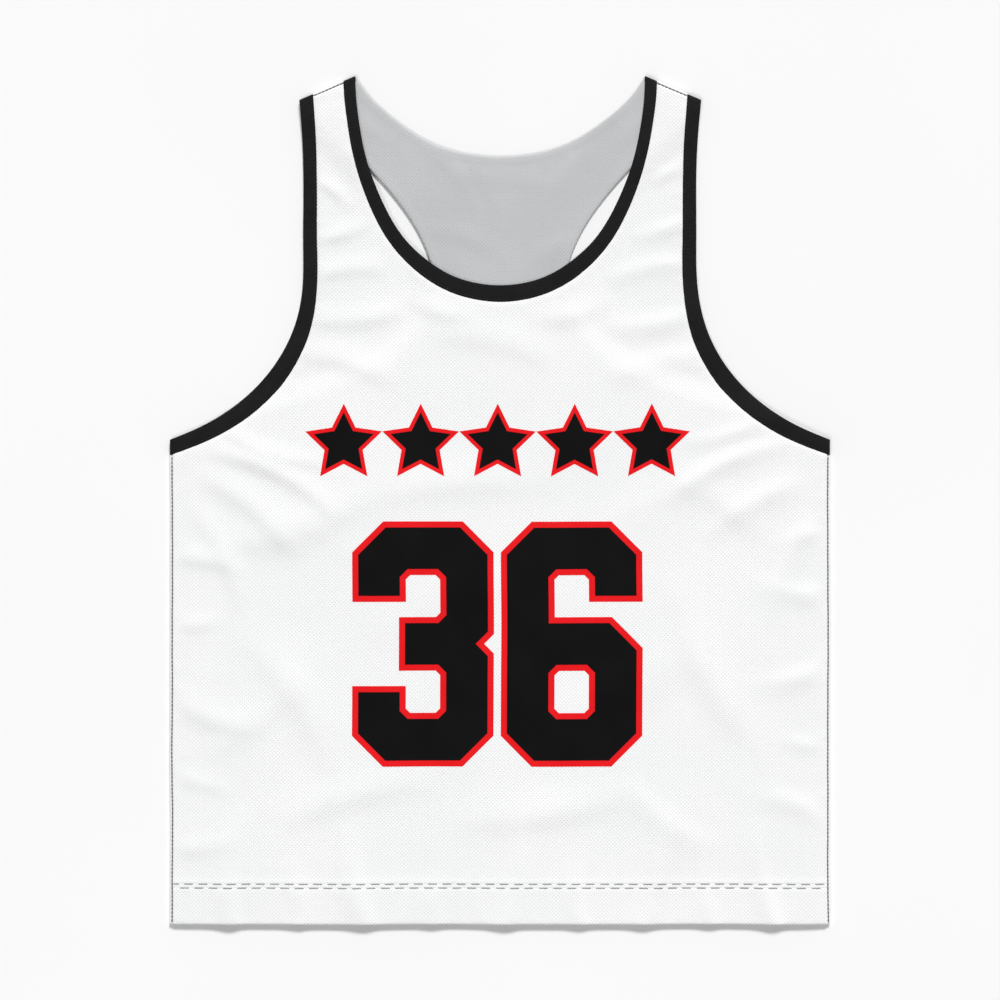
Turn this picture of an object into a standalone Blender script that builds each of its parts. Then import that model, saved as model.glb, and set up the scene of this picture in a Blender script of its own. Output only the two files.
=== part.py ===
"""Reversible pinnie, laid flat on its back.

Two shells of light knit, one white and one grey, bagged out along the neck and
the armholes. The white shell carries black bands on those edges, a two-digit
number and a row of stars. Every piece is a wall of cloth in its own layer.

Frame: +Z up, +Y towards the shoulders, X across the chest, front side up. The
origin is on the surface that the garment lies on, under the middle of its
length and width. Sizes here are in millimetres, heights on the cloth are
measured up from the hem, and everything is turned to metres at the end.
Left and right are the wearer's, so the left armhole is at +X.
"""

import math

import bmesh
import bpy
import numpy as np
from mathutils import Vector
from mathutils.geometry import delaunay_2d_cdt

MM = 0.001

# ---- driving sizes of the cut -------------------------------------------------
HALF_CHEST = 290.0  # centre line to a side edge
LENGTH = 745.6  # hem to the neck corner of the shoulder
NECK_CORNER = (127.4, 745.6)  # shoulder line, at the neck
STRAP_CORNER = (176.6, 724.6)  # shoulder line, at the armhole

# ---- the cloth ----------------------------------------------------------------
WALL = 1.0  # each ply as a wall
SEAM_GAP = 0.3  # between any two pieces
TRIM_WALL = 1.2  # the bands on the front, which stand a little proud
FILM_WALL = 0.6  # pressed number and stars
STEP = WALL + SEAM_GAP  # from one ply's underside to the next

# undersides of the four plies, floor up
BACK_OUTER_Z = 0.0
BACK_INNER_Z = BACK_OUTER_Z + STEP
FRONT_INNER_Z = BACK_INNER_Z + STEP
FRONT_OUTER_Z = FRONT_INNER_Z + STEP

EDGE_TURN = 4.0  # width over which side seams and shoulders turn in
EDGE_DROP = STEP  # how far the outer plies turn towards each other there
INNER_INSET = EDGE_TURN + 0.6  # inner plies stop short of the turned edge
SAG_DROP = 2.0 * STEP  # the front lies on the floor where it has no back under it
SAG_CLEAR = 1.0  # beside the back's edge, before the front comes down
SAG_WIDTH = 18.0  # over which the front comes down

CURVE_STEP = 10.0  # spacing of points along a cut edge
LATTICE = 52.0  # spacing of points inside a panel
OVERRUN = 14.0  # cut curves run past shoulder and side before being trimmed

# ---- cut edges, right half: (half_width, height above the hem) ----------------
FRONT_NECK = (
    (127.4, 745.7),
    (126.5, 726.3),
    (124.2, 707.1),
    (117.2, 672.0),
    (104.1, 636.9),
    (83.1, 601.9),
    (64.1, 583.9),
    (43.4, 570.9),
    (22.1, 563.9),
    (0.0, 561.6),
)
BACK_NECK = (
    (127.4, 745.7),
    (117.8, 730.9),
    (104.6, 717.1),
    (87.0, 702.8),
    (66.0, 689.5),
    (46.6, 681.5),
    (22.0, 676.3),
    (0.0, 674.9),
)
FRONT_ARMHOLE = (
    (290.0, 425.8),
    (263.5, 437.0),
    (228.4, 459.5),
    (201.8, 487.1),
    (183.3, 519.6),
    (174.3, 555.9),
    (172.9, 601.5),
    (172.9, 658.7),
    (174.4, 698.2),
    (176.6, 724.6),
)
BACK_ARMHOLE = (
    (290.0, 425.8),
    (228.5, 441.6),
    (167.0, 458.3),
    (117.8, 477.6),
    (81.5, 500.7),
    (61.8, 524.4),
    (55.8, 547.2),
    (57.6, 567.8),
    (63.0, 588.2),
    (72.5, 609.4),
    (87.4, 632.2),
    (110.0, 659.0),
    (142.0, 691.8),
    (176.6, 724.6),
)

# ---- widths of the black bands: (share of the edge's length, width) -----------
NECK_BAND = (
    (0.0, 10.8),
    (0.1, 10.3),
    (0.17, 10.6),
    (0.24, 11.7),
    (0.32, 12.7),
    (0.38, 13.9),
    (0.5, 14.8),
    (0.62, 13.9),
    (0.68, 12.7),
    (0.76, 11.7),
    (0.83, 10.6),
    (0.9, 10.3),
    (1.0, 10.8),
)
ARMHOLE_BAND = (
    (0.0, 12.6),
    (0.11, 13.8),
    (0.22, 15.3),
    (0.32, 15.8),
    (0.42, 14.8),
    (0.52, 12.8),
    (0.64, 12.2),
    (0.79, 11.8),
    (1.0, 12.6),
)
BACK_NECK_BAND = ((0.0, 11.0), (0.5, 12.6), (1.0, 11.0))
BACK_ARMHOLE_BAND = ((0.0, 12.4), (0.5, 12.6), (1.0, 12.4))

# ---- the number: plain block digits on one grid -------------------------------
DIGIT_WIDTH = 113.6
DIGIT_HEIGHT = 204.6
DIGIT_STROKE = 36.4
DIGIT_CLIP = 24.0  # clipped outer corners
DIGIT_HOOK = 60.0  # length of an open stroke's end
DIGIT_TICK = 7.0  # small clips inside the corners
DIGIT_EDGE = 5.3  # red edge round the black
DIGIT_LOW = 144.0  # height of the black digits' base above the hem
DIGIT_CENTRES = (-67.7, 63.0)

# ---- the chest row: plain five-pointed stars ----------------------------------
STAR_COUNT = 5
STAR_RADIUS = 35.2  # centre to tip, red edge included
STAR_WAIST = 0.50  # inner corners, as a share of the radius
STAR_EDGE = 3.4
STAR_PITCH = 67.6
STAR_ROW = (-2.0, 422.2)  # middle of the row


# ---- curves -------------------------------------------------------------------
def natural_spline(rows, per_span=24):
    """A smooth curve through the rows, densely sampled, by chord length."""
    points = np.array(rows, float)
    chord = np.concatenate(([0.0], np.cumsum(np.linalg.norm(np.diff(points, axis=0), axis=1))))
    gaps = np.diff(chord)
    count = len(points)
    matrix = np.zeros((count, count))
    target = np.zeros((count, 2))
    matrix[0, 0] = matrix[-1, -1] = 1.0
    for i in range(1, count - 1):
        matrix[i, i - 1 : i + 2] = gaps[i - 1], 2.0 * (gaps[i - 1] + gaps[i]), gaps[i]
        rise = (points[i + 1] - points[i]) / gaps[i] - (points[i] - points[i - 1]) / gaps[i - 1]
        target[i] = 6.0 * rise
    bend = np.linalg.solve(matrix, target)
    out = []
    for i, gap in enumerate(gaps):
        for t in np.linspace(0.0, 1.0, per_span, endpoint=False):
            a, b = 1.0 - t, t
            out.append(
                a * points[i]
                + b * points[i + 1]
                + ((a**3 - a) * bend[i] + (b**3 - b) * bend[i + 1]) * gap * gap / 6.0
            )
    out.append(points[-1])
    return np.array(out)


def resample(points, step):
    """The same curve with evenly spaced points."""
    along = np.concatenate(([0.0], np.cumsum(np.linalg.norm(np.diff(points, axis=0), axis=1))))
    count = max(2, int(round(along[-1] / step)))
    at = np.linspace(0.0, along[-1], count + 1)
    return np.column_stack([np.interp(at, along, points[:, k]) for k in (0, 1)])


def overrun(points, length):
    """The curve with a straight run added past each end."""
    first = points[0] + (points[0] - points[1]) / np.linalg.norm(points[0] - points[1]) * length
    last = points[-1] + (points[-1] - points[-2]) / np.linalg.norm(points[-1] - points[-2]) * length
    return np.vstack([first, points, last])


def offset(points, width):
    """The curve moved to its left by width: one number, or one for each point."""
    ahead = np.vstack([points[1:], points[-1:]])
    behind = np.vstack([points[:1], points[:-1]])
    along = ahead - behind
    along /= np.linalg.norm(along, axis=1)[:, None]
    left = np.column_stack([-along[:, 1], along[:, 0]])
    return points + left * np.reshape(width, (-1, 1))


def banded(points, rows):
    """Band widths from a table, one for each point of the curve."""
    along = np.concatenate(([0.0], np.cumsum(np.linalg.norm(np.diff(points, axis=0), axis=1))))
    shares, widths = zip(*rows)
    return np.interp(along / along[-1], shares, widths)


def mirrored(points):
    """The same curve on the other side of the centre line, run backwards."""
    return (points * (-1.0, 1.0))[::-1]


def whole_neck(rows):
    """A neck edge from the left shoulder round to the right one, cloth on its left."""
    half = list(rows)
    return natural_spline(half + [(-x, y) for x, y in reversed(half[:-1])])


# ---- cut lines ----------------------------------------------------------------
def cut(rows, is_neck, band_rows, gap=SEAM_GAP):
    """The cut edge, the band's inner edge and the panel's edge beside it."""
    line = whole_neck(rows) if is_neck else natural_spline(rows)
    line = overrun(resample(line, CURVE_STEP), OVERRUN)
    widths = banded(line, band_rows)
    return line, offset(line, widths), offset(line, widths + gap)


SHOULDER_DIRECTION = np.array(STRAP_CORNER) - np.array(NECK_CORNER)
SHOULDER_DIRECTION /= np.linalg.norm(SHOULDER_DIRECTION)
SHOULDER_INWARD = np.array([SHOULDER_DIRECTION[1], -SHOULDER_DIRECTION[0]])
if SHOULDER_INWARD[1] > 0:
    SHOULDER_INWARD = -SHOULDER_INWARD


def side_depth(points):
    """Distance in from the nearer side edge."""
    return HALF_CHEST - np.abs(points[:, 0])


def shoulder_depth(points):
    """Distance down from the nearer shoulder line."""
    folded = np.column_stack([np.abs(points[:, 0]), points[:, 1]])
    return (folded - np.array(NECK_CORNER)) @ SHOULDER_INWARD


def clip(polygon, keep):
    """The polygon's part where keep(points) is not negative."""
    out = []
    values = keep(np.array(polygon))
    for i, point in enumerate(polygon):
        before, at, now = polygon[i - 1], values[i - 1], values[i]
        if (at < 0) != (now < 0):
            share = at / (at - now)
            out.append(np.array(before) + (np.array(point) - np.array(before)) * share)
        if now >= 0:
            out.append(np.array(point))
    return np.array(out)


def trimmed(polygon, inset=0.0):
    """The polygon cut off at both sides, both shoulders and the hem."""
    cuts = (
        lambda p: HALF_CHEST - inset - p[:, 0],
        lambda p: HALF_CHEST - inset + p[:, 0],
        lambda p: (p - np.array(NECK_CORNER)) @ SHOULDER_INWARD - inset,
        lambda p: (p * (-1, 1) - np.array(NECK_CORNER)) @ SHOULDER_INWARD - inset,
        lambda p: p[:, 1],
    )
    for keep in cuts:
        polygon = clip(polygon, keep)
    return polygon


def panel(neck_edge, armhole_edge, inset=0.0):
    """A whole front or back inside the given neck and left armhole edges."""
    width = HALF_CHEST + 2 * OVERRUN
    outline = np.vstack([[(-width, 0.0), (width, 0.0)], armhole_edge, neck_edge, mirrored(armhole_edge)])
    return trimmed(outline, inset)


def band(edge, inner_edge):
    """A strip between a cut edge and the line beside it."""
    return trimmed(np.vstack([edge, inner_edge[::-1]]))


# ---- how the layers lie -------------------------------------------------------
def inside(points, loops):
    """Which points lie inside the loops, holes left out."""
    hit = np.zeros(len(points), bool)
    x, y = points[:, 0], points[:, 1]
    for loop in loops:
        for (ax, ay), (bx, by) in zip(loop, np.roll(loop, -1, axis=0)):
            crosses = (ay > y) != (by > y)
            if crosses.any():
                at = ax + (y - ay) * (bx - ax) / (by - ay if by != ay else 1e-12)
                hit ^= crosses & (x < at)
    return hit


def distance_to(points, line):
    """Distance from each point to an open line."""
    best = np.full(len(points), 1e9)
    for a, b in zip(line[:-1], line[1:]):
        span = b - a
        share = np.clip(((points - a) @ span) / (span @ span), 0.0, 1.0)
        best = np.minimum(best, np.linalg.norm(points - a - share[:, None] * span, axis=1))
    return best


def turn(points):
    """Share of the turn at a side seam or a shoulder: 1 at the edge, 0 inside."""
    depth = np.clip(np.minimum(side_depth(points), shoulder_depth(points)) / EDGE_TURN, 0.0, 1.0)
    return 1.0 - np.sqrt(np.clip(1.0 - (1.0 - depth) ** 2, 0.0, 1.0))


def sag(points):
    """How far the front comes down beside the back's racer edge."""
    away = distance_to(points, back_arm) - SAG_CLEAR
    away = np.minimum(away, distance_to(points, mirrored(back_arm)) - SAG_CLEAR)
    share = np.clip(away / SAG_WIDTH, 0.0, 1.0)
    share = share * share * (3.0 - 2.0 * share)
    return np.where(inside(points, [back_whole]), 0.0, share * SAG_DROP)


def front_ply(base, wall):
    """Underside and top of a layer of the front."""

    def heights(points):
        low = base - sag(points) - (turn(points) * EDGE_DROP if base >= FRONT_OUTER_Z else 0.0)
        return low, low + wall

    return heights


def back_ply(base):
    """Underside and top of a layer of the back."""

    def heights(points):
        low = base + (turn(points) * EDGE_DROP if base == BACK_OUTER_Z else np.zeros(len(points)))
        return low, low + WALL

    return heights


# ---- solids -------------------------------------------------------------------
def lattice(loops, guides, spacing):
    """Points of an even triangular lattice inside the loops, clear of every line."""
    corners = np.vstack(loops)
    low, high = corners.min(axis=0), corners.max(axis=0)
    rows = []
    row_gap = spacing * math.sqrt(3.0) / 2.0
    for j in range(int((high[1] - low[1]) / row_gap) + 2):
        for i in range(int((high[0] - low[0]) / spacing) + 2):
            rows.append((low[0] + (i + 0.5 * (j % 2)) * spacing, low[1] + (j + 0.5) * row_gap))
    points = np.array(rows)
    points = points[inside(points, loops)]
    for line in [np.vstack([loop, loop[:1]]) for loop in loops] + guides:
        if len(points):
            points = points[distance_to(points, line) > spacing * 0.38]
    return points


def solid(name, loops, heights, material, guides=(), spacing=None):
    """A closed wall of cloth: the loops filled with triangles, lifted to two heights."""
    guides = list(guides)
    points, edges = [], []
    for loop in loops:
        start = len(points)
        points.extend(loop)
        edges.extend((start + i, start + (i + 1) % len(loop)) for i in range(len(loop)))
    for line in guides:
        start = len(points)
        points.extend(line)
        edges.extend((start + i, start + i + 1) for i in range(len(line) - 1))
    if spacing:
        points.extend(lattice(loops, guides, spacing))
    found = delaunay_2d_cdt([Vector(p) for p in points], edges, [], 0, 0.01)
    flat = np.array([tuple(p) for p in found[0]])
    faces = np.array(found[2])
    centres = flat[faces].mean(axis=1)
    faces = faces[inside(centres, loops)]
    used = np.unique(faces)
    place = np.full(len(flat), -1)
    place[used] = np.arange(len(used))
    flat, faces = flat[used], place[faces]
    a, b, c = (flat[faces[:, k]] for k in range(3))
    turned = (b[:, 0] - a[:, 0]) * (c[:, 1] - a[:, 1]) - (b[:, 1] - a[:, 1]) * (c[:, 0] - a[:, 0]) < 0
    faces[turned] = faces[turned][:, ::-1]

    low, high = heights(flat)
    count = len(flat)
    mesh = bmesh.new()
    for level in (high, low):
        for (x, y), z in zip(flat, level):
            mesh.verts.new((x * MM, (y - LENGTH / 2) * MM, z * MM))
    mesh.verts.ensure_lookup_table()
    sides = {}
    for face in faces:
        i, j, k = (int(v) for v in face)
        mesh.faces.new([mesh.verts[v] for v in (i, j, k)])
        mesh.faces.new([mesh.verts[v + count] for v in (k, j, i)])
        for edge in ((i, j), (j, k), (k, i)):
            sides[edge] = True
    for i, j in sides:
        if (j, i) not in sides:
            mesh.faces.new([mesh.verts[v] for v in (j, i, i + count)])
            mesh.faces.new([mesh.verts[v] for v in (j, i + count, j + count)])
    data = bpy.data.meshes.new(name)
    mesh.to_mesh(data)
    mesh.free()
    data.materials.append(material)
    piece = bpy.data.objects.new(name, data)
    bpy.context.scene.collection.objects.link(piece)
    return piece


def cloth(name, color, roughness):
    material = bpy.data.materials.new(name)
    material.use_nodes = True
    shader = material.node_tree.nodes["Principled BSDF"]
    shader.inputs["Base Color"].default_value = (*color, 1.0)
    shader.inputs["Roughness"].default_value = roughness
    shader.inputs["Metallic"].default_value = 0.0
    material.diffuse_color = (*color, 1.0)
    return material


# ---- number and stars ---------------------------------------------------------
def grown(loop, width):
    """A closed outline, run anticlockwise, moved outwards by width with square corners."""
    points = np.array(loop, float)
    before = points - np.roll(points, 1, axis=0)
    after = np.roll(points, -1, axis=0) - points
    before /= np.linalg.norm(before, axis=1)[:, None]
    after /= np.linalg.norm(after, axis=1)[:, None]
    out_before = np.column_stack([before[:, 1], -before[:, 0]])
    out_after = np.column_stack([after[:, 1], -after[:, 0]])
    middle = out_before + out_after
    reach = 2.0 / (middle**2).sum(axis=1)
    return points + middle * reach[:, None] * width


def digit_three():
    """Outline of a block 3: two hooks and a middle arm, anticlockwise."""
    w, h, s, c = DIGIT_WIDTH, DIGIT_HEIGHT, DIGIT_STROKE, DIGIT_CLIP
    k, t, m = DIGIT_HOOK, DIGIT_TICK, DIGIT_HEIGHT / 2
    lower = [
        (w - 0.45 * c, m),
        (w - s - t, m - s / 2),
        (0.36 * w, m - s / 2),
    ]
    bottom = [(c, 0), (w - c, 0), (w, c), (w, m - 0.45 * c), (w - 0.45 * c, m)]
    outer = bottom + [(w, m + 0.45 * c), (w, h - c), (w - c, h), (c, h), (0, h - c), (0, h - k)]
    inner_top = [(s, h - k), (s, h - s - t), (s + t, h - s), (w - s - t, h - s), (w - s, h - s - t)]
    arm = [(w - s, m + s / 2 + t), (w - s - t, m + s / 2), (0.36 * w, m + s / 2)]
    arm += [lower[2], lower[1], (w - s, m - s / 2 - t)]
    inner_low = [(w - s, s + t), (w - s - t, s), (s + t, s), (s, s + t), (s, k), (0, k), (0, c)]
    return [outer + inner_top + arm + inner_low]


def digit_six():
    """Outline and counter of a block 6: the outline anticlockwise, the counter clockwise."""
    w, h, s, c = DIGIT_WIDTH, DIGIT_HEIGHT, DIGIT_STROKE, DIGIT_CLIP
    k, t, m = DIGIT_HOOK, DIGIT_TICK, DIGIT_HEIGHT / 2
    top = m + s / 2
    outer = [(c, 0), (w - c, 0), (w, c), (w, top - c), (w - c, top), (s, top)]
    outer += [(s, h - s - t), (s + t, h - s), (w - s - t, h - s), (w - s, h - s - t), (w - s, h - k)]
    outer += [(w, h - k), (w, h - c), (w - c, h), (c, h), (0, h - c), (0, c)]
    low, high, left, right = s, m - s / 2, s, w - s
    counter = [
        (left, low + t),
        (left, high - t),
        (left + t, high),
        (right - t, high),
        (right, high - t),
        (right, low + t),
        (right - t, low),
        (left + t, low),
    ]
    return [outer, counter]


def star(radius):
    """A fat five-pointed star about the origin, point up, anticlockwise."""
    loop = []
    for i in range(10):
        reach = radius if i % 2 == 0 else radius * STAR_WAIST
        angle = math.radians(90 + 36 * i)
        loop.append((reach * math.cos(angle), reach * math.sin(angle)))
    return [loop]


def film(name, loops, middle, edge, black, red):
    """A black shape and the red edge round it, lying on the front."""
    loops = [np.array(loop, float) + middle for loop in loops]
    heights = front_ply(FRONT_OUTER_Z + WALL + SEAM_GAP, FILM_WALL)
    solid(name + "_fill", loops, heights, black)
    for loop, ending in zip(loops, ("_outline", "_counter_outline")):
        solid(name + ending, [grown(loop, edge), grown(loop, SEAM_GAP)], heights, red)


# ---- the garment --------------------------------------------------------------
for old in list(bpy.data.objects):
    bpy.data.objects.remove(old, do_unlink=True)

white = cloth("white_mesh", (0.86, 0.86, 0.86), 0.8)
grey = cloth("grey_knit", (0.55, 0.565, 0.575), 0.85)
black = cloth("black_band", (0.014, 0.012, 0.012), 0.75)
print_black = cloth("print_black", (0.006, 0.006, 0.006), 0.5)
print_red = cloth("print_red", (0.83, 0.017, 0.022), 0.5)

front_neck, front_neck_band, front_neck_panel = cut(FRONT_NECK, True, NECK_BAND)
front_arm, front_arm_band, front_arm_panel = cut(FRONT_ARMHOLE, False, ARMHOLE_BAND)
back_neck, back_neck_band, back_neck_panel = cut(BACK_NECK, True, BACK_NECK_BAND)
back_arm, back_arm_band, back_arm_panel = cut(BACK_ARMHOLE, False, BACK_ARMHOLE_BAND)

back_whole = panel(back_neck, back_arm, -5.0)  # past the sides, so that points on a side edge count as over it

# lines that every fold follows: seams turn over short steps, the front sags in even ones
SIDE_TOP = FRONT_ARMHOLE[0][1] + 8.0
turn_lines = []
for depth in (0.7, 2.0, EDGE_TURN):
    for side in (-1, 1):
        x = side * (HALF_CHEST - depth)
        turn_lines.append(np.array([(x, y) for y in np.linspace(-1.0, SIDE_TOP, 9)]))
        ends = [np.array(NECK_CORNER) - SHOULDER_DIRECTION * 6, np.array(STRAP_CORNER) + SHOULDER_DIRECTION * 6]
        line = np.array([end + SHOULDER_INWARD * depth for end in ends])
        turn_lines.append(line * (side, 1))
sag_lines = []
for share, spacing in ((0.0, 1.0), (0.3, 1.8), (0.7, 1.8), (1.0, 1.8)):
    right = resample(offset(back_arm, -(SAG_CLEAR + share * SAG_WIDTH)), CURVE_STEP * spacing)
    sag_lines += [right, right * (-1, 1)]

# back, from the floor up
solid("outer_back", [panel(back_neck_panel, back_arm_panel)], back_ply(BACK_OUTER_Z), white, turn_lines, LATTICE)
solid("neck_trim_back", [band(back_neck, back_neck_band)], back_ply(BACK_OUTER_Z), black, turn_lines)
for side, name in ((1, "left"), (-1, "right")):
    strip = band(back_arm, back_arm_band) * (side, 1)
    solid("armhole_trim_back_" + name, [strip], back_ply(BACK_OUTER_Z), black, turn_lines)
solid("inner_back", [panel(back_neck, back_arm, INNER_INSET)], back_ply(BACK_INNER_Z), grey, (), LATTICE)

# front
solid(
    "inner_front",
    [panel(front_neck, front_arm, INNER_INSET)],
    front_ply(FRONT_INNER_Z, WALL),
    grey,
    sag_lines,
    LATTICE,
)
solid(
    "outer_front",
    [panel(front_neck_panel, front_arm_panel)],
    front_ply(FRONT_OUTER_Z, WALL),
    white,
    turn_lines + sag_lines,
    LATTICE,
)
solid(
    "neck_trim_front",
    [band(front_neck, front_neck_band)],
    front_ply(FRONT_OUTER_Z, TRIM_WALL),
    black,
    turn_lines + sag_lines,
)
for side, name in ((1, "left"), (-1, "right")):
    strip = band(front_arm, front_arm_band) * (side, 1)
    solid(
        "armhole_trim_front_" + name,
        [strip],
        front_ply(FRONT_OUTER_Z, TRIM_WALL),
        black,
        turn_lines + sag_lines,
    )

# number and stars
for name, digit, centre in (("number_three", digit_three, DIGIT_CENTRES[0]), ("number_six", digit_six, DIGIT_CENTRES[1])):
    film(name, digit(), (centre - DIGIT_WIDTH / 2, DIGIT_LOW), DIGIT_EDGE, print_black, print_red)
tip_half_angle = math.atan2(
    STAR_WAIST * math.sin(math.radians(36)), 1.0 - STAR_WAIST * math.cos(math.radians(36))
)
black_radius = STAR_RADIUS - STAR_EDGE / math.sin(tip_half_angle)
for i in range(STAR_COUNT):
    middle = (STAR_ROW[0] + (i - (STAR_COUNT - 1) / 2) * STAR_PITCH, STAR_ROW[1])
    film(f"star_{i + 1}", star(black_radius), middle, STAR_EDGE, print_black, print_red)
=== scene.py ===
"""Looks of a reversible pinnie laid flat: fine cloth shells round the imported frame.

Everything is worked out in millimetres, with heights on the cloth measured up
from the hem, and is turned into metres in the row frame when a mesh is made.
Left and right are the wearer's, so the left armhole is at +X.
"""

import math  # noqa: E402

import bpy  # noqa: E402
import numpy as np  # noqa: E402
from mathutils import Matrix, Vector  # noqa: E402
from mathutils.geometry import delaunay_2d_cdt  # noqa: E402
from mathutils.kdtree import KDTree  # noqa: E402


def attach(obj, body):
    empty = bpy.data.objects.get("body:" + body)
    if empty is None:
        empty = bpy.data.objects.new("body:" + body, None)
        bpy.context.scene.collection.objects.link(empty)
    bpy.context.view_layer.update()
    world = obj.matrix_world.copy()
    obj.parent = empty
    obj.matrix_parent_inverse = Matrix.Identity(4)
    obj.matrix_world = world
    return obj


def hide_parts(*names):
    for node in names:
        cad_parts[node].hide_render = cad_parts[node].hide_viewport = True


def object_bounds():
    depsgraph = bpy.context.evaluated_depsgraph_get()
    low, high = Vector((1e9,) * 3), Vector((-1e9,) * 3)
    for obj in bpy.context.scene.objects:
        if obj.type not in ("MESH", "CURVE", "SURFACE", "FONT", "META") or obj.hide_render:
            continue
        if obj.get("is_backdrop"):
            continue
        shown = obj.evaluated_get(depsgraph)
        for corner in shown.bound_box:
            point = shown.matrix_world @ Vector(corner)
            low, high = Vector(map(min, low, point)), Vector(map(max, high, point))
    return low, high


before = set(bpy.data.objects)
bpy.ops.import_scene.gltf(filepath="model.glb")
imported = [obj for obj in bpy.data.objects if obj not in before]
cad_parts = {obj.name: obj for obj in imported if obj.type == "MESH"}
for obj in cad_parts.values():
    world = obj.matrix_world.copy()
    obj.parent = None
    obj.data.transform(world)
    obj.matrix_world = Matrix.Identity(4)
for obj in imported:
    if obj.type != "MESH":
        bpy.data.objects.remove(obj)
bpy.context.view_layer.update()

MM = 0.001

# ---- sizes of the cut, as in the frame ----------------------------------------
HALF_CHEST = 290.0
LENGTH = 745.6
NECK_CORNER = (127.4, 745.6)
STRAP_CORNER = (176.6, 724.6)
WALL = 1.0
STEP = 1.3
BACK_OUTER_Z, BACK_INNER_Z, FRONT_INNER_Z, FRONT_OUTER_Z = 0.0, STEP, 2 * STEP, 3 * STEP
EDGE_TURN = 4.0
EDGE_DROP = STEP + 0.16  # front and back meet along sides and shoulders
INNER_INSET = 4.6
SAG_DROP = 2.0 * STEP
SAG_CLEAR = 1.0
SAG_WIDTH = 24.0
OVERRUN = 14.0

# ---- cut edges, right half: (half_width, height above the hem) ----------------
FRONT_NECK = (
    (127.4, 745.7),
    (126.5, 726.3),
    (124.2, 707.1),
    (117.2, 672.0),
    (104.1, 636.9),
    (83.1, 601.9),
    (64.1, 583.9),
    (43.4, 570.9),
    (22.1, 563.9),
    (0.0, 561.6),
)
BACK_NECK = (
    (127.4, 745.7),
    (117.8, 730.9),
    (104.6, 717.1),
    (87.0, 702.8),
    (66.0, 689.5),
    (46.6, 681.5),
    (22.0, 676.3),
    (0.0, 674.9),
)
FRONT_ARMHOLE = (
    (290.0, 425.8),
    (263.5, 437.0),
    (228.4, 459.5),
    (201.8, 487.1),
    (183.3, 519.6),
    (174.3, 555.9),
    (172.9, 601.5),
    (172.9, 658.7),
    (174.4, 698.2),
    (176.6, 724.6),
)
BACK_ARMHOLE = (
    (290.0, 425.8),
    (228.5, 441.6),
    (167.0, 458.3),
    (117.8, 477.6),
    (81.5, 500.7),
    (61.8, 524.4),
    (55.8, 547.2),
    (57.6, 567.8),
    (63.0, 588.2),
    (72.5, 609.4),
    (87.4, 632.2),
    (110.0, 659.0),
    (142.0, 691.8),
    (176.6, 724.6),
)

# ---- widths of the black bands: (share of the edge's length, width) -----------
NECK_BAND = (
    (0.0, 10.8),
    (0.1, 10.3),
    (0.17, 10.6),
    (0.24, 11.7),
    (0.32, 12.7),
    (0.38, 13.9),
    (0.5, 14.8),
    (0.62, 13.9),
    (0.68, 12.7),
    (0.76, 11.7),
    (0.83, 10.6),
    (0.9, 10.3),
    (1.0, 10.8),
)
ARMHOLE_BAND = (
    (0.0, 12.6),
    (0.11, 13.8),
    (0.22, 15.3),
    (0.32, 15.8),
    (0.42, 14.8),
    (0.52, 12.8),
    (0.64, 12.2),
    (0.79, 11.8),
    (1.0, 12.6),
)
BACK_NECK_BAND = ((0.0, 11.0), (0.5, 12.6), (1.0, 11.0))
BACK_ARMHOLE_BAND = ((0.0, 12.4), (0.5, 12.6), (1.0, 12.4))

# ---- number and stars ---------------------------------------------------------
DIGIT_WIDTH = 113.6
DIGIT_HEIGHT = 204.6
DIGIT_STROKE = 36.4
DIGIT_CLIP = 24.0
DIGIT_HOOK = 60.0
DIGIT_TICK = 7.0
DIGIT_EDGE = 5.3
DIGIT_LOW = 144.0
DIGIT_CENTRES = (-67.7, 63.0)
STAR_COUNT = 5
STAR_RADIUS = 35.2
STAR_WAIST = 0.50
STAR_EDGE = 3.4
STAR_PITCH = 67.6
STAR_ROW = (-2.0, 422.2)

# ---- sewing -------------------------------------------------------------------
HEM_ROWS = (31.8, 35.3)  # height of the two rows above the hem edge
HEM_STITCH, HEM_PITCH, HEM_START = 8.3, 12.61, (-277.3, -273.7)
HEM_TURN = 37.6  # the turned-up allowance ends just above the rows
TUCK = 1.3  # the panel runs under its band by this much
SETBACK = 0.4  # the ply under an edge stays back from it by this much
SEAM_IN, SEAM_HALF, SEAM_DITCH = 1.75, 0.78, 1.4  # side and shoulder seams, just in from the edge

# ---- spacing of points --------------------------------------------------------
FRONT_LATTICE = 4.2
BACK_LATTICE = 5.2
NEAR_LATTICE = 2.5
NEAR_SEAM = 20.0
EDGE_STEP = 2.6

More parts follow.
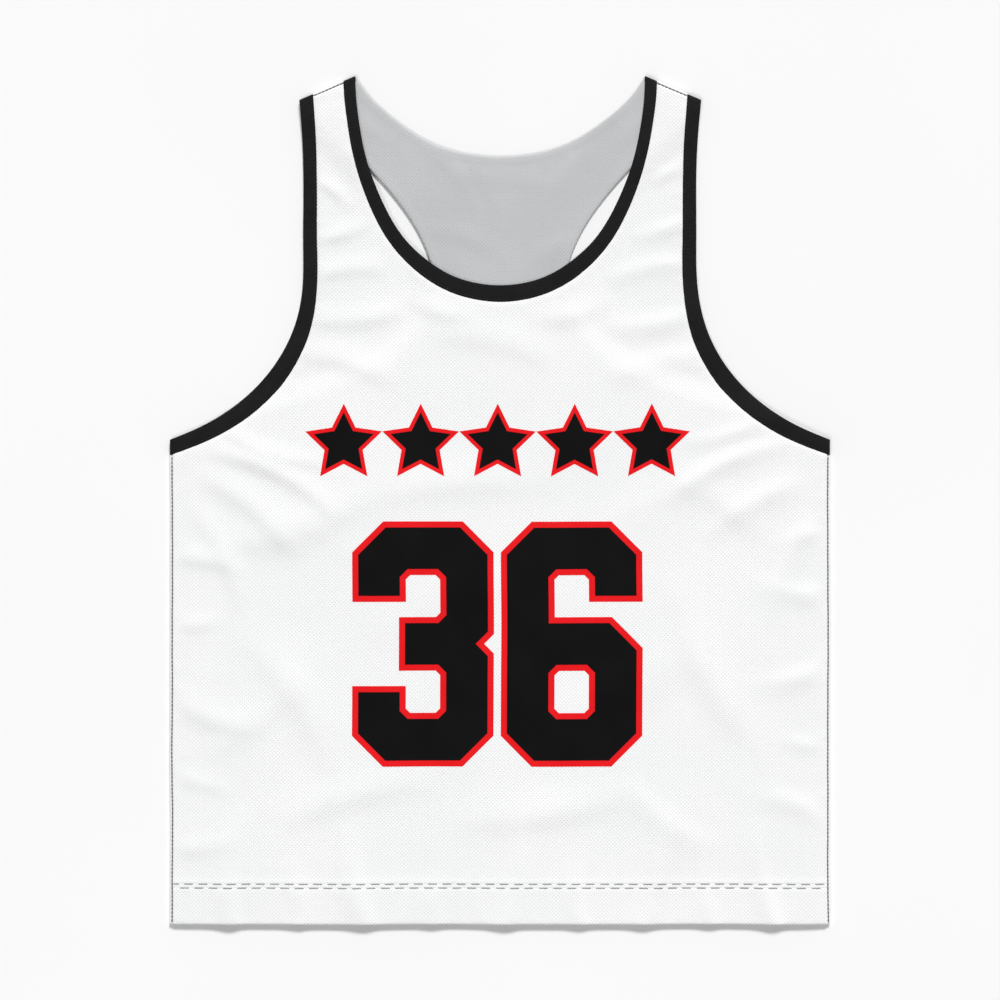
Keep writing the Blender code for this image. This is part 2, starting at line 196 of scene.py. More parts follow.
# ---- soft ridges of the front -------------------------------------------------
# (x0, y0, x1, y1, bow, half_width, height, open): a ridge runs from the first
# point to the second, bowed sideways. One that is open starts full at its first
# point, which is on an edge.
FRONT_RIDGES = (
    (-262, 416, -138, 352, 14, 8.5, 2.9, 0),
    (-268, 396, -176, 318, 10, 10.5, 2.3, 0),
    (-246, 437, -150, 404, -7, 7.0, 1.9, 0),
    (-276, 372, -226, 272, 8, 9.5, 1.7, 0),
    (-287, 322, -212, 304, 5, 8.0, 1.8, 1),
    (-287, 262, -236, 270, -3, 6.5, 1.3, 1),
    (-287, 196, -196, 172, -7, 10.0, 2.1, 1),
    (-287, 128, -232, 112, 3, 7.0, 1.4, 1),
    (-287, 66, -226, 78, -4, 8.5, 1.5, 1),
    (258, 422, 142, 366, -13, 8.0, 2.7, 0),
    (272, 390, 178, 336, -9, 9.5, 2.2, 0),
    (238, 448, 158, 424, 6, 7.0, 1.7, 0),
    (280, 366, 236, 262, -7, 9.0, 1.6, 0),
    (287, 344, 232, 330, -4, 7.0, 1.4, 1),
    (287, 290, 214, 308, 6, 9.0, 1.9, 1),
    (287, 226, 206, 212, 5, 9.0, 2.0, 1),
    (287, 158, 240, 166, 3, 6.5, 1.3, 1),
    (287, 92, 216, 112, -7, 9.0, 1.9, 1),
    (-236, 0, -224, 104, 6, 9.5, 2.3, 1),
    (-176, 0, -184, 62, -3, 8.0, 1.6, 1),
    (-118, 0, -134, 118, 7, 11.0, 2.2, 1),
    (-58, 0, -54, 50, 2, 8.5, 1.5, 1),
    (6, 0, 16, 98, -6, 11.0, 2.1, 1),
    (72, 0, 66, 58, 3, 8.0, 1.5, 1),
    (128, 0, 146, 108, -5, 10.0, 2.2, 1),
    (186, 0, 182, 56, 2, 8.0, 1.5, 1),
    (242, 0, 228, 98, 6, 9.0, 2.3, 1),
    (-164, 656, -130, 626, 3, 5.5, 1.4, 0),
    (-168, 602, -112, 618, -4, 6.5, 1.6, 0),
    (-166, 566, -98, 574, 6, 8.0, 1.9, 0),
    (-172, 534, -80, 542, -7, 9.0, 2.1, 0),
    (166, 670, 132, 648, -3, 5.5, 1.4, 0),
    (168, 624, 114, 604, 4, 6.5, 1.6, 0),
    (168, 580, 94, 564, -6, 8.0, 1.9, 0),
    (176, 540, 86, 528, 7, 9.0, 2.0, 0),
    (-192, 502, -84, 472, 8, 10.5, 1.9, 0),
    (194, 498, 92, 478, -7, 10.5, 1.9, 0),
    (-88, 556, -18, 536, -8, 8.5, 1.4, 0),
    (22, 534, 100, 552, -9, 9.5, 1.6, 0),
    (-66, 518, 52, 490, 10, 13.0, 1.7, 0),
    (-236, 262, -142, 112, 16, 16.0, 2.0, 0),
    (-252, 334, -112, 376, -11, 15.0, 1.8, 0),
    (154, 312, 240, 142, -17, 17.0, 2.1, 0),
    (142, 396, 236, 336, 7, 13.0, 1.6, 0),
    (-150, 368, 66, 386, 10, 15.0, 1.4, 0),
    (-52, 92, 128, 120, -10, 14.0, 1.6, 0),
    (-198, 84, -50, 124, 10, 13.0, 1.6, 0),
    (-116, 246, 36, 304, 13, 20.0, 1.2, 0),
    (14, 184, 176, 244, -15, 22.0, 1.3, 0),
    (196, 62, 104, 132, 8, 12.0, 1.4, 0),
    (-262, 150, -170, 224, -9, 13.0, 1.3, 0),
)
# the back, seen through the neck and lifting the front a little
BACK_RIDGES = (
    (-78, 690, -18, 622, 9, 8.0, 0.9, 0),
    (84, 686, 36, 612, -8, 8.5, 0.9, 0),
    (-44, 660, 52, 642, 6, 9.0, 0.7, 0),
    (-70, 612, 10, 582, 7, 8.0, 0.8, 0),
    (70, 604, 14, 566, -6, 8.0, 0.7, 0),
    (-22, 674, 4, 626, -3, 7.0, 0.6, 0),
    (-130, 706, -96, 684, 2, 6.0, 0.6, 0),
    (134, 712, 98, 680, -3, 6.0, 0.6, 0),
    (-250, 380, -90, 300, 10, 14.0, 0.6, 0),
    (230, 400, 60, 330, -12, 14.0, 0.6, 0),
    (-200, 60, -190, 190, 8, 13.0, 0.6, 0),
    (140, 40, 160, 200, -9, 14.0, 0.6, 0),
    (-30, 120, 40, 240, 12, 15.0, 0.6, 0),
)
# broad unevenness: (wavelength, heading in degrees, phase, height)
SWELLS = (
    (210.0, 18.0, 0.4, 0.16),
    (157.0, 74.0, 2.1, 0.14),
    (118.0, 131.0, 4.4, 0.10),
    (83.0, 40.0, 1.3, 0.06),
    (61.0, 103.0, 5.2, 0.045),
    (44.0, 158.0, 0.9, 0.03),
)
# slight drift of the whole cloth in its own plane: (wavelength, heading, phase, across, along)
DRIFTS = (
    (236.0, 84.0, 0.7, 0.16, 0.04),
    (149.0, 96.0, 3.9, 0.10, 0.04),
    (91.0, 88.0, 1.8, 0.07, 0.02),
    (212.0, 6.0, 2.6, 0.03, 0.11),
    (127.0, -9.0, 5.0, 0.03, 0.07),
    (73.0, 3.0, 0.3, 0.02, 0.03),
)


# ---- curves -------------------------------------------------------------------
def run_of(points):
    return np.concatenate(([0.0], np.cumsum(np.linalg.norm(np.diff(points, axis=0), axis=1))))


def natural_spline(rows, per_span=40):
    """A smooth curve through the rows, densely sampled, by chord length."""
    points = np.array(rows, float)
    gaps = np.diff(run_of(points))
    count = len(points)
    matrix, target = np.zeros((count, count)), np.zeros((count, 2))
    matrix[0, 0] = matrix[-1, -1] = 1.0
    for i in range(1, count - 1):
        matrix[i, i - 1 : i + 2] = gaps[i - 1], 2.0 * (gaps[i - 1] + gaps[i]), gaps[i]
        rise = (points[i + 1] - points[i]) / gaps[i] - (points[i] - points[i - 1]) / gaps[i - 1]
        target[i] = 6.0 * rise
    bend = np.linalg.solve(matrix, target)
    out = []
    for i, gap in enumerate(gaps):
        for t in np.linspace(0.0, 1.0, per_span, endpoint=False):
            a, b = 1.0 - t, t
            curve = ((a**3 - a) * bend[i] + (b**3 - b) * bend[i + 1]) * gap * gap / 6.0
            out.append(a * points[i] + b * points[i + 1] + curve)
    out.append(points[-1])
    return np.array(out)


def resample(points, step):
    along = run_of(points)
    at = np.linspace(0.0, along[-1], max(2, int(round(along[-1] / step))) + 1)
    return np.column_stack([np.interp(at, along, points[:, k]) for k in (0, 1)])


def overrun(points, length):
    """The curve with straight runs added past both ends, in even steps."""
    first = points[0] - points[1]
    last = points[-1] - points[-2]
    first, last = first / np.linalg.norm(first), last / np.linalg.norm(last)
    steps = np.arange(1, int(length / EDGE_STEP) + 2) * EDGE_STEP
    head = points[0] + steps[::-1, None] * first
    tail = points[-1] + steps[:, None] * last
    return np.vstack([head, points, tail])


def left_of(points):
    along = np.vstack([points[1:], points[-1:]]) - np.vstack([points[:1], points[:-1]])
    along /= np.linalg.norm(along, axis=1)[:, None]
    return np.column_stack([-along[:, 1], along[:, 0]])


def offset(points, width):
    return points + left_of(points) * np.reshape(width, (-1, 1))


def banded(points, rows):
    along = run_of(points)
    shares, widths = zip(*rows)
    return np.interp(along / along[-1], shares, widths)


def mirrored(points):
    return (points * (-1.0, 1.0))[::-1]


class Edge:
    """A cut edge with its band: the line, the band's widths, and lines beside it."""

    def __init__(self, rows, is_neck, band_rows):
        half = list(rows)
        whole = half + [(-x, y) for x, y in reversed(half[:-1])] if is_neck else half
        self.line = overrun(resample(natural_spline(whole), EDGE_STEP), OVERRUN)
        self.widths = banded(self.line, band_rows)

    def at(self, inset):
        return offset(self.line, inset)

    def seam(self, beyond=0.0):
        return offset(self.line, self.widths + beyond)


SHOULDER_DIRECTION = np.array(STRAP_CORNER) - np.array(NECK_CORNER)
SHOULDER_DIRECTION /= np.linalg.norm(SHOULDER_DIRECTION)
SHOULDER_INWARD = np.array([SHOULDER_DIRECTION[1], -SHOULDER_DIRECTION[0]])
if SHOULDER_INWARD[1] > 0:
    SHOULDER_INWARD = -SHOULDER_INWARD


def side_depth(points):
    return HALF_CHEST - np.abs(points[:, 0])


def shoulder_depth(points):
    folded = np.column_stack([np.abs(points[:, 0]), points[:, 1]])
    return (folded - np.array(NECK_CORNER)) @ SHOULDER_INWARD


def clip(polygon, keep):
    out = []
    values = keep(np.array(polygon))
    for i, point in enumerate(polygon):
        before, at, now = polygon[i - 1], values[i - 1], values[i]
        if (at < 0) != (now < 0):
            share = at / (at - now)
            out.append(np.array(before) + (np.array(point) - np.array(before)) * share)
        if now >= 0:
            out.append(np.array(point))
    return np.array(out)


def trimmed(polygon, inset=0.0, hem=0.0):
    cuts = (
        lambda p: HALF_CHEST - inset - p[:, 0],
        lambda p: HALF_CHEST - inset + p[:, 0],
        lambda p: (p - np.array(NECK_CORNER)) @ SHOULDER_INWARD - inset,
        lambda p: (p * (-1, 1) - np.array(NECK_CORNER)) @ SHOULDER_INWARD - inset,
        lambda p: p[:, 1] - hem,
    )
    for keep in cuts:
        polygon = clip(polygon, keep)
    return polygon


def dense(loop, step=3.0):
    """The closed loop with its long edges divided."""
    out = []
    for a, b in zip(loop, np.roll(loop, -1, axis=0)):
        count = max(1, int(math.ceil(np.linalg.norm(b - a) / step)))
        out.extend(a + (b - a) * k / count for k in range(count))
    return np.array(out)


def panel(neck_edge, armhole_edge, inset=0.0, hem=0.0):
    width = HALF_CHEST + 2 * OVERRUN
    outline = np.vstack([[(-width, 0.0), (width, 0.0)], armhole_edge, neck_edge, mirrored(armhole_edge)])
    return dense(trimmed(outline, inset, hem))


# ---- measuring ----------------------------------------------------------------
def inside(points, loops):
    hit = np.zeros(len(points), bool)
    x, y = points[:, 0], points[:, 1]
    for loop in loops:
        low, high = loop.min(axis=0), loop.max(axis=0)
        near = (y >= low[1]) & (y <= high[1]) & (x <= high[0])
        nx, ny, nh = x[near], y[near], np.zeros(near.sum(), bool)
        for (ax, ay), (bx, by) in zip(loop, np.roll(loop, -1, axis=0)):
            if ay == by:
                continue
            crosses = (ay > ny) != (by > ny)
            nh[crosses] ^= nx[crosses] < ax + (ny[crosses] - ay) * (bx - ax) / (by - ay)
        hit[near] ^= nh
    return hit


def along_line(points, line, reach=1e9):
    """Distance from each point to an open line, the run along it there, and the side (1 is left)."""
    best = np.full(len(points), 1e9)
    where = np.zeros(len(points))
    side = np.ones(len(points))
    run = run_of(line)
    low, high = line.min(axis=0) - reach, line.max(axis=0) + reach
    near = np.flatnonzero(((points >= low) & (points <= high)).all(axis=1))
    some = points[near]
    for i, (a, b) in enumerate(zip(line[:-1], line[1:])):
        span = b - a
        share = np.clip(((some - a) @ span) / (span @ span), 0.0, 1.0)
        gap = some - a - share[:, None] * span
        away = np.hypot(gap[:, 0], gap[:, 1])
        closer = away < best[near]
        picked = near[closer]
        best[picked] = away[closer]
        where[picked] = run[i] + share[closer] * (run[i + 1] - run[i])
        side[picked] = np.where(span[0] * gap[closer, 1] - span[1] * gap[closer, 0] >= 0, 1.0, -1.0)
    return best, where, side


def smooth(t):
    t = np.clip(t, 0.0, 1.0)
    return t * t * (3.0 - 2.0 * t)


# ---- edges --------------------------------------------------------------------
front_neck = Edge(FRONT_NECK, True, NECK_BAND)
front_arm = Edge(FRONT_ARMHOLE, False, ARMHOLE_BAND)
back_neck = Edge(BACK_NECK, True, BACK_NECK_BAND)
back_arm = Edge(BACK_ARMHOLE, False, BACK_ARMHOLE_BAND)
back_whole = panel(back_neck.line, back_arm.line, -5.0)
back_arm_line = resample(back_arm.line, 6.0)


# ---- how the cloth lies -------------------------------------------------------
def ridges(points, rows):
    total = np.zeros(len(points))
    for x0, y0, x1, y1, bow, width, height, is_open in rows:
        a, b = np.array((x0, y0), float), np.array((x1, y1), float)
        across = np.array([-(b - a)[1], (b - a)[0]])
        across /= np.linalg.norm(across)
        t = np.linspace(0.0, 1.0, 13)[:, None]
        path = a + (b - a) * t + across * (bow * 4.0 * t * (1.0 - t))
        away, where, side = along_line(points, path, 3.2 * width)
        share = where / run_of(path)[-1]
        reach = width * np.where(side > 0, 1.22, 0.84)
        body = np.exp(-((away / reach) ** 2))
        if is_open:
            ends = np.cos(np.clip(share, 0, 1) * math.pi / 2) ** 1.1
        else:
            ends = np.sin(np.clip(share, 0, 1) * math.pi) ** 0.9
        wander = 1.0 + 0.16 * np.sin(share * 8.0 + x0 * 0.37 + y0 * 0.11)
        total += np.where(away < 3.2 * width, height * body * ends * wander, 0.0)
    return total


def waves(points, rows):
    total = np.zeros(len(points))
    for length, heading, phase, height in rows:
        angle = math.radians(heading)
        along = points @ np.array([math.cos(angle), math.sin(angle)])
        bent = along + 9.0 * np.sin(points[:, 0] / 71.0 + phase) + 7.0 * np.cos(points[:, 1] / 93.0 + 2 * phase)
        total += height * (1.0 + np.sin(2 * math.pi * bent / length + phase))
    return total


def settled(points):
    """1 inside the cloth, 0 at side seams and shoulders, which hold the plies together."""
    return smooth((side_depth(points) - 1.0) / 20.0) * smooth((shoulder_depth(points) - 1.0) / 24.0)


def back_lift(points):
    return (ridges(points, BACK_RIDGES) + 0.35 * waves(points, SWELLS)) * settled(points)


def turn(points):
    depth = np.clip(np.minimum(side_depth(points), shoulder_depth(points)) / EDGE_TURN, 0.0, 1.0)
    return 1.0 - np.sqrt(np.clip(1.0 - (1.0 - depth) ** 2, 0.0, 1.0))


def sag(points):
    away = along_line(points, back_arm_line, 40.0)[0]
    away = np.minimum(away, along_line(points, back_arm_line * (-1, 1), 40.0)[0])
    share = smooth((np.minimum(away, 1e3) - SAG_CLEAR) / SAG_WIDTH)
    return np.where(inside(points, [back_whole]), 0.0, share * SAG_DROP)


def front_level(points):
    """Underside of the white front, before its edges turn."""
    lift = (ridges(points, FRONT_RIDGES) + 0.8 * waves(points, SWELLS)) * settled(points)
    return FRONT_OUTER_Z - sag(points) + lift + back_lift(points)


def drifted(points):
    """The whole cloth, drawn very slightly out of true in its own plane."""
    out = points.copy()
    for length, heading, phase, across, along in DRIFTS:
        angle = math.radians(heading)
        wave = np.sin(2 * math.pi * (points @ np.array([math.cos(angle), math.sin(angle)])) / length + phase)
        out[:, 0] += across * wave
        out[:, 1] += along * wave
    return out


chance = np.random.RandomState(36)


class Puckers:
    """Small uneven gathers that run into the cloth from a line of sewing."""

    def __init__(self, length, spacing, height, depth, width):
        self.rows = []
        at = chance.uniform(0, spacing)
        while at < length:
            self.rows.append(
                (
                    at,
                    height * chance.uniform(0.25, 1.0),
                    depth * chance.uniform(0.4, 1.3),
                    width * chance.uniform(0.7, 1.35),
                    chance.uniform(-0.45, 0.45),
                )
            )
            at += spacing * chance.uniform(0.45, 1.7)

    def __call__(self, run, away):
        total = np.zeros(len(run))
        for at, height, depth, width, slant in self.rows:
            near = (np.abs(run - at) < 3 * width + 14) & (away < 3 * depth)
            gap = (run[near] - at - slant * away[near]) / (width * (1.0 + 0.03 * away[near]))
            total[near] += height * np.exp(-(gap**2)) * np.exp(-((away[near] / depth) ** 1.4))
        return total


# ---- triangles ----------------------------------------------------------------
class Cloth:
    """One flat triangulation that carries every line of a front or a back."""

    def __init__(self, outline, lines, loops, spacing, near_lines):
        points, edges = [], []
        for loop in [outline] + loops:
            start = len(points)
            points.extend(loop)
            edges.extend((start + i, start + (i + 1) % len(loop)) for i in range(len(loop)))
        for line in lines:
            start = len(points)
            points.extend(line)
            edges.extend((start + i, start + i + 1) for i in range(len(line) - 1))
        tree = KDTree(len(points))
        for i, p in enumerate(points):
            tree.insert((p[0], p[1], 0.0), i)
        tree.balance()
        seams = KDTree(sum(len(line) for line in near_lines))
        i = 0
        for line in near_lines:
            for p in line:
                seams.insert((p[0], p[1], 0.0), i)
                i += 1
        seams.balance()
        for step, low, high in ((spacing, NEAR_SEAM, 1e9), (NEAR_LATTICE, -1.0, NEAR_SEAM)):
            for p in self.lattice(outline, step):
                at = (p[0], p[1], 0.0)
                if low < seams.find(at)[2] <= high and tree.find(at)[2] > step * 0.55:
                    points.append(p)
        found = delaunay_2d_cdt([Vector(p) for p in points], edges, [], 0, 0.02)
        self.flat = np.array([(p.x, p.y) for p in found[0]])
        faces = np.array(found[2])
        a, b, c = (self.flat[faces[:, k]] for k in range(3))
        area = (b[:, 0] - a[:, 0]) * (c[:, 1] - a[:, 1]) - (b[:, 1] - a[:, 1]) * (c[:, 0] - a[:, 0])
        faces[area < 0] = faces[area < 0][:, ::-1]
        self.faces = faces[np.abs(area) > 1e-7]
        self.centres = self.flat[self.faces].mean(axis=1)

    @staticmethod
    def lattice(outline, spacing):
        low, high = outline.min(axis=0), outline.max(axis=0)
        gap = spacing * math.sqrt(3.0) / 2.0
        j, i = np.mgrid[0 : int((high[1] - low[1]) / gap) + 2, 0 : int((high[0] - low[0]) / spacing) + 2]
        x = low[0] + (i + 0.5 * (j % 2)) * spacing
        y = low[1] + (j + 0.5) * gap
        points = np.column_stack([x.ravel(), y.ravel()])
        # nudged a little off the lattice, so that no rows show
        nudge = 0.16 * spacing
        points += nudge * np.column_stack(
            [np.sin(points[:, 1] * 1.7 + points[:, 0] * 0.9), np.cos(points[:, 0] * 1.9 - points[:, 1] * 0.6)]
        )
        return points[inside(points, [outline])]

    def part(self, loops):
        """Points, faces and the points' places in the whole, for what lies inside the loops."""
        faces = self.faces[inside(self.centres, loops)]
        used = np.unique(faces)
        place = np.full(len(self.flat), -1)
        place[used] = np.arange(len(used))
        return self.flat[used], place[faces], used


def make(name, points, faces, material, attributes=(), sharp=38.0):
    """A mesh object from points in millimetres above the hem and faces."""
    co = np.array(points, float)
    co[:, :2] = drifted(co[:, :2])
    co[:, 1] -= LENGTH / 2
    data = bpy.data.meshes.new(name)
    data.from_pydata((co * MM).tolist(), [], [list(map(int, f)) for f in faces])
    data.validate()
    data.polygons.foreach_set("use_smooth", [True] * len(data.polygons))
    if sharp:
        data.set_sharp_from_angle(angle=math.radians(sharp))
    for label, values in attributes:
        layer = data.attributes.new(label, "FLOAT_VECTOR", "POINT")
        layer.data.foreach_set("vector", np.asarray(values, np.float32).ravel())
    data.materials.append(material)
    piece = bpy.data.objects.new(name, data)
    bpy.context.scene.collection.objects.link(piece)
    return piece


def shell(name, flat, faces, low, high, material, bulge=0.25):
    """A closed thin wall over a flat triangulation, with a rounded rim."""
    count = len(flat)
    edges = np.vstack([faces[:, [0, 1]], faces[:, [1, 2]], faces[:, [2, 0]]])
    keys = edges[:, 0].astype(np.int64) * count + edges[:, 1]
    back = edges[:, 1].astype(np.int64) * count + edges[:, 0]
    rim = edges[~np.isin(keys, back)]
    outward = np.zeros((count, 2))
    span = flat[rim[:, 1]] - flat[rim[:, 0]]
    normal = np.column_stack([span[:, 1], -span[:, 0]])
    normal /= np.linalg.norm(normal, axis=1)[:, None]
    np.add.at(outward, rim[:, 0], normal)
    np.add.at(outward, rim[:, 1], normal)
    on_rim = np.unique(rim)
    length = np.linalg.norm(outward[on_rim], axis=1)
    outward[on_rim] /= np.maximum(length, 0.6)[:, None]
    place = np.full(count, -1)
    place[on_rim] = 2 * count + np.arange(len(on_rim))
    middle = np.column_stack(
        [flat[on_rim] + outward[on_rim] * bulge, (low[on_rim] + high[on_rim]) / 2]
    )
    points = np.vstack([np.column_stack([flat, high]), np.column_stack([flat, low]), middle])
    a, b = rim[:, 0], rim[:, 1]
    ma, mb = place[a], place[b]
    sides = np.vstack(
        [
            np.column_stack([b, a, ma]),
            np.column_stack([b, ma, mb]),
            np.column_stack([mb, ma, a + count]),
            np.column_stack([mb, a + count, b + count]),
        ]
    )
    every = np.vstack([faces, faces[:, ::-1] + count, sides])
    return make(name, points, every, material)


def strip(name, edge, section, level, material, side=1, underside=False):
    """A closed band along a cut edge. section gives (distance in, rise) round its cross-section."""
    line = edge.line
    run = run_of(line)
    fine = np.arange(0.0, 30.0, 0.9)
    at = np.unique(np.concatenate([fine, np.arange(30.0, run[-1] - 30.0, 2.4), run[-1] - fine]))
    at = at[(at >= 0) & (at <= run[-1])]
    centre = np.column_stack([np.interp(at, run, line[:, k]) for k in (0, 1)])
    width = np.interp(at, run, edge.widths)
    left = left_of(line)
    left = np.column_stack([np.interp(at, run, left[:, k]) for k in (0, 1)])
    left /= np.linalg.norm(left, axis=1)[:, None]
    rings, around = [], None
    for k in range(len(at)):
        around = section(width[k])
        rings.append(centre[k] + left[k] * around[:, :1])
    flat = np.vstack(rings) * (side, 1)
    rows, each = len(at), len(around)
    rise = np.concatenate([section(w)[:, 1] for w in width])
    inset = np.concatenate([section(w)[:, 0] for w in width])
    points = np.column_stack([flat, rise])
    faces = []
    for i in range(rows - 1):
        for j in range(each):
            a, b = i * each + j, i * each + (j + 1) % each
            faces.append((a, b, b + each, a + each) if side > 0 else (a, a + each, b + each, b))
    faces.append(list(range(each))[::-1] if side > 0 else list(range(each)))
    last = (rows - 1) * each
    faces.append([last + j for j in range(each)] if side > 0 else [last + j for j in range(each)][::-1])
    run_attribute = np.column_stack([np.repeat(at, each), inset, np.zeros(len(points))]) * MM
    return make_cut(name, points, faces, material, run_attribute, level)


def make_cut(name, points, faces, material, run_attribute, level):
    """The band, cut off flat along the shoulders and the side, its ends closed, then laid at its level."""
    import bmesh

    data = bpy.data.meshes.new("uncut")
    data.from_pydata(np.asarray(points).tolist(), [], faces)
    mesh = bmesh.new()
    mesh.from_mesh(data)
    layer = mesh.verts.layers.float_vector.new("run")
    mesh.verts.ensure_lookup_table()
    for vertex, value in zip(mesh.verts, run_attribute):
        vertex[layer] = value
    cuts = (
        ((HALF_CHEST, 0, 0), (1, 0, 0)),
        ((-HALF_CHEST, 0, 0), (-1, 0, 0)),
        ((*NECK_CORNER, 0), (*(-SHOULDER_INWARD), 0)),
        ((-NECK_CORNER[0], NECK_CORNER[1], 0), (SHOULDER_INWARD[0], -SHOULDER_INWARD[1], 0)),
    )
    for place, out in cuts:
        bmesh.ops.bisect_plane(
            mesh,
            geom=mesh.verts[:] + mesh.edges[:] + mesh.faces[:],
            dist=1e-4,
            plane_co=place,
            plane_no=out,
            clear_outer=True,
        )
        open_edges = [e for e in mesh.edges if e.is_boundary]
        if open_edges:
            bmesh.ops.holes_fill(mesh, edges=open_edges, sides=0)
    bmesh.ops.recalc_face_normals(mesh, faces=mesh.faces[:])
    layer = mesh.verts.layers.float_vector["run"]
    mesh.verts.ensure_lookup_table()
    mesh.verts.index_update()
    cut_points = np.array([v.co[:] for v in mesh.verts])
    cut_points[:, 2] += level(cut_points[:, :2])
    runs = np.array([v[layer][:] for v in mesh.verts])
    cut_faces = [[v.index for v in f.verts] for f in mesh.faces]
    mesh.free()
    bpy.data.meshes.remove(data)
    return make(name, cut_points, cut_faces, material, [("run", runs)], sharp=50.0)


def thread(name, starts, ends, width, height, material, dip=0.0, bow=None):
    """Many stitches as one mesh: each an arched strand from start to end, both (n, 3)."""
    starts, ends = np.asarray(starts, float), np.asarray(ends, float)
    along_steps, around_steps = 9, 8
    t = np.linspace(0.0, 1.0, along_steps)
    t = 0.5 - 0.5 * np.cos(math.pi * t)
    swell = np.clip(1.0 - np.abs(2.0 * t - 1.0) ** 8, 0, 1) ** 0.4
    points, faces = [], []
    span = ends - starts
    flat = span.copy()
    flat[:, 2] = 0
    flat /= np.linalg.norm(flat, axis=1)[:, None]
    across = np.column_stack([-flat[:, 1], flat[:, 0], np.zeros(len(flat))])
    base = 0
    bow = np.zeros(len(starts)) if bow is None else bow
    for a, s, c, rise in zip(starts, span, across, bow):
        rows = []
        for k in range(along_steps):
            middle = a + s * t[k]
            middle = middle + np.array((0, 0, rise * 4.0 * t[k] * (1.0 - t[k]) - dip * (1 - swell[k])))
            for m in range(around_steps):
                angle = 2 * math.pi * m / around_steps
                rows.append(
                    middle
                    + c * (0.5 * width * max(swell[k], 0.25) * math.cos(angle))
                    + np.array((0, 0, height * 0.5 * max(swell[k], 0.25) * math.sin(angle)))
                )
        points.extend(rows)
        for k in range(along_steps - 1):
            for m in range(around_steps):
                p, q = base + k * around_steps + m, base + k * around_steps + (m + 1) % around_steps
                faces.append((p, q, q + around_steps, p + around_steps))
        faces.append([base + m for m in range(around_steps)][::-1])
        faces.append([base + (along_steps - 1) * around_steps + m for m in range(around_steps)])
        base += len(rows)
    return make(name, np.array(points), faces, material, sharp=None)


# ---- number and stars, as outlines --------------------------------------------
def grown(loop, width):
    points = np.array(loop, float)
    before = points - np.roll(points, 1, axis=0)
    after = np.roll(points, -1, axis=0) - points
    before /= np.linalg.norm(before, axis=1)[:, None]
    after /= np.linalg.norm(after, axis=1)[:, None]
    middle = np.column_stack([before[:, 1], -before[:, 0]]) + np.column_stack([after[:, 1], -after[:, 0]])
    reach = 2.0 / (middle**2).sum(axis=1)
    return points + middle * reach[:, None] * width


def digit_three():
    w, h, s, c = DIGIT_WIDTH, DIGIT_HEIGHT, DIGIT_STROKE, DIGIT_CLIP
    k, t, m = DIGIT_HOOK, DIGIT_TICK, DIGIT_HEIGHT / 2
    outer = [(c, 0), (w - c, 0), (w, c), (w, m - 0.45 * c), (w - 0.45 * c, m), (w, m + 0.45 * c)]
    outer += [(w, h - c), (w - c, h), (c, h), (0, h - c), (0, h - k)]
    inner_top = [(s, h - k), (s, h - s - t), (s + t, h - s), (w - s - t, h - s), (w - s, h - s - t)]
    arm = [(w - s, m + s / 2 + t), (w - s - t, m + s / 2), (0.36 * w, m + s / 2)]
    arm += [(0.36 * w, m - s / 2), (w - s - t, m - s / 2), (w - s, m - s / 2 - t)]
    inner_low = [(w - s, s + t), (w - s - t, s), (s + t, s), (s, s + t), (s, k), (0, k), (0, c)]
    return [outer + inner_top + arm + inner_low]


def digit_six():
    w, h, s, c = DIGIT_WIDTH, DIGIT_HEIGHT, DIGIT_STROKE, DIGIT_CLIP
    k, t, m = DIGIT_HOOK, DIGIT_TICK, DIGIT_HEIGHT / 2
    top = m + s / 2
    outer = [(c, 0), (w - c, 0), (w, c), (w, top - c), (w - c, top), (s, top)]
    outer += [(s, h - s - t), (s + t, h - s), (w - s - t, h - s), (w - s, h - s - t), (w - s, h - k)]
    outer += [(w, h - k), (w, h - c), (w - c, h), (c, h), (0, h - c), (0, c)]
    low, high, left, right = s, m - s / 2, s, w - s
    counter = [(left, low + t), (left, high - t), (left + t, high), (right - t, high)]
    counter += [(right, high - t), (right, low + t), (right - t, low), (left + t, low)]
    return [outer, counter]


def star(radius):
    angles = [math.radians(90 + 36 * i) for i in range(10)]
    reach = [radius if i % 2 == 0 else radius * STAR_WAIST for i in range(10)]
    return [[(r * math.cos(a), r * math.sin(a)) for r, a in zip(reach, angles)]]


films = []  # (name, loops of the black, loops of the red)
for label, digit, centre in (
    ("number_three", digit_three, DIGIT_CENTRES[0]),
    ("number_six", digit_six, DIGIT_CENTRES[1]),
):
    loops = [np.array(loop, float) + (centre - DIGIT_WIDTH / 2, DIGIT_LOW) for loop in digit()]
    films.append((label, loops, [grown(loop, DIGIT_EDGE) for loop in loops]))
half_tip = math.atan2(STAR_WAIST * math.sin(math.radians(36)), 1.0 - STAR_WAIST * math.cos(math.radians(36)))
for i in range(STAR_COUNT):
    middle = (STAR_ROW[0] + (i - (STAR_COUNT - 1) / 2) * STAR_PITCH, STAR_ROW[1])
    loops = [np.array(loop) + middle for loop in star(STAR_RADIUS - STAR_EDGE / math.sin(half_tip))]
    films.append((f"star_{i + 1}", loops, [grown(loop, STAR_EDGE) for loop in loops]))


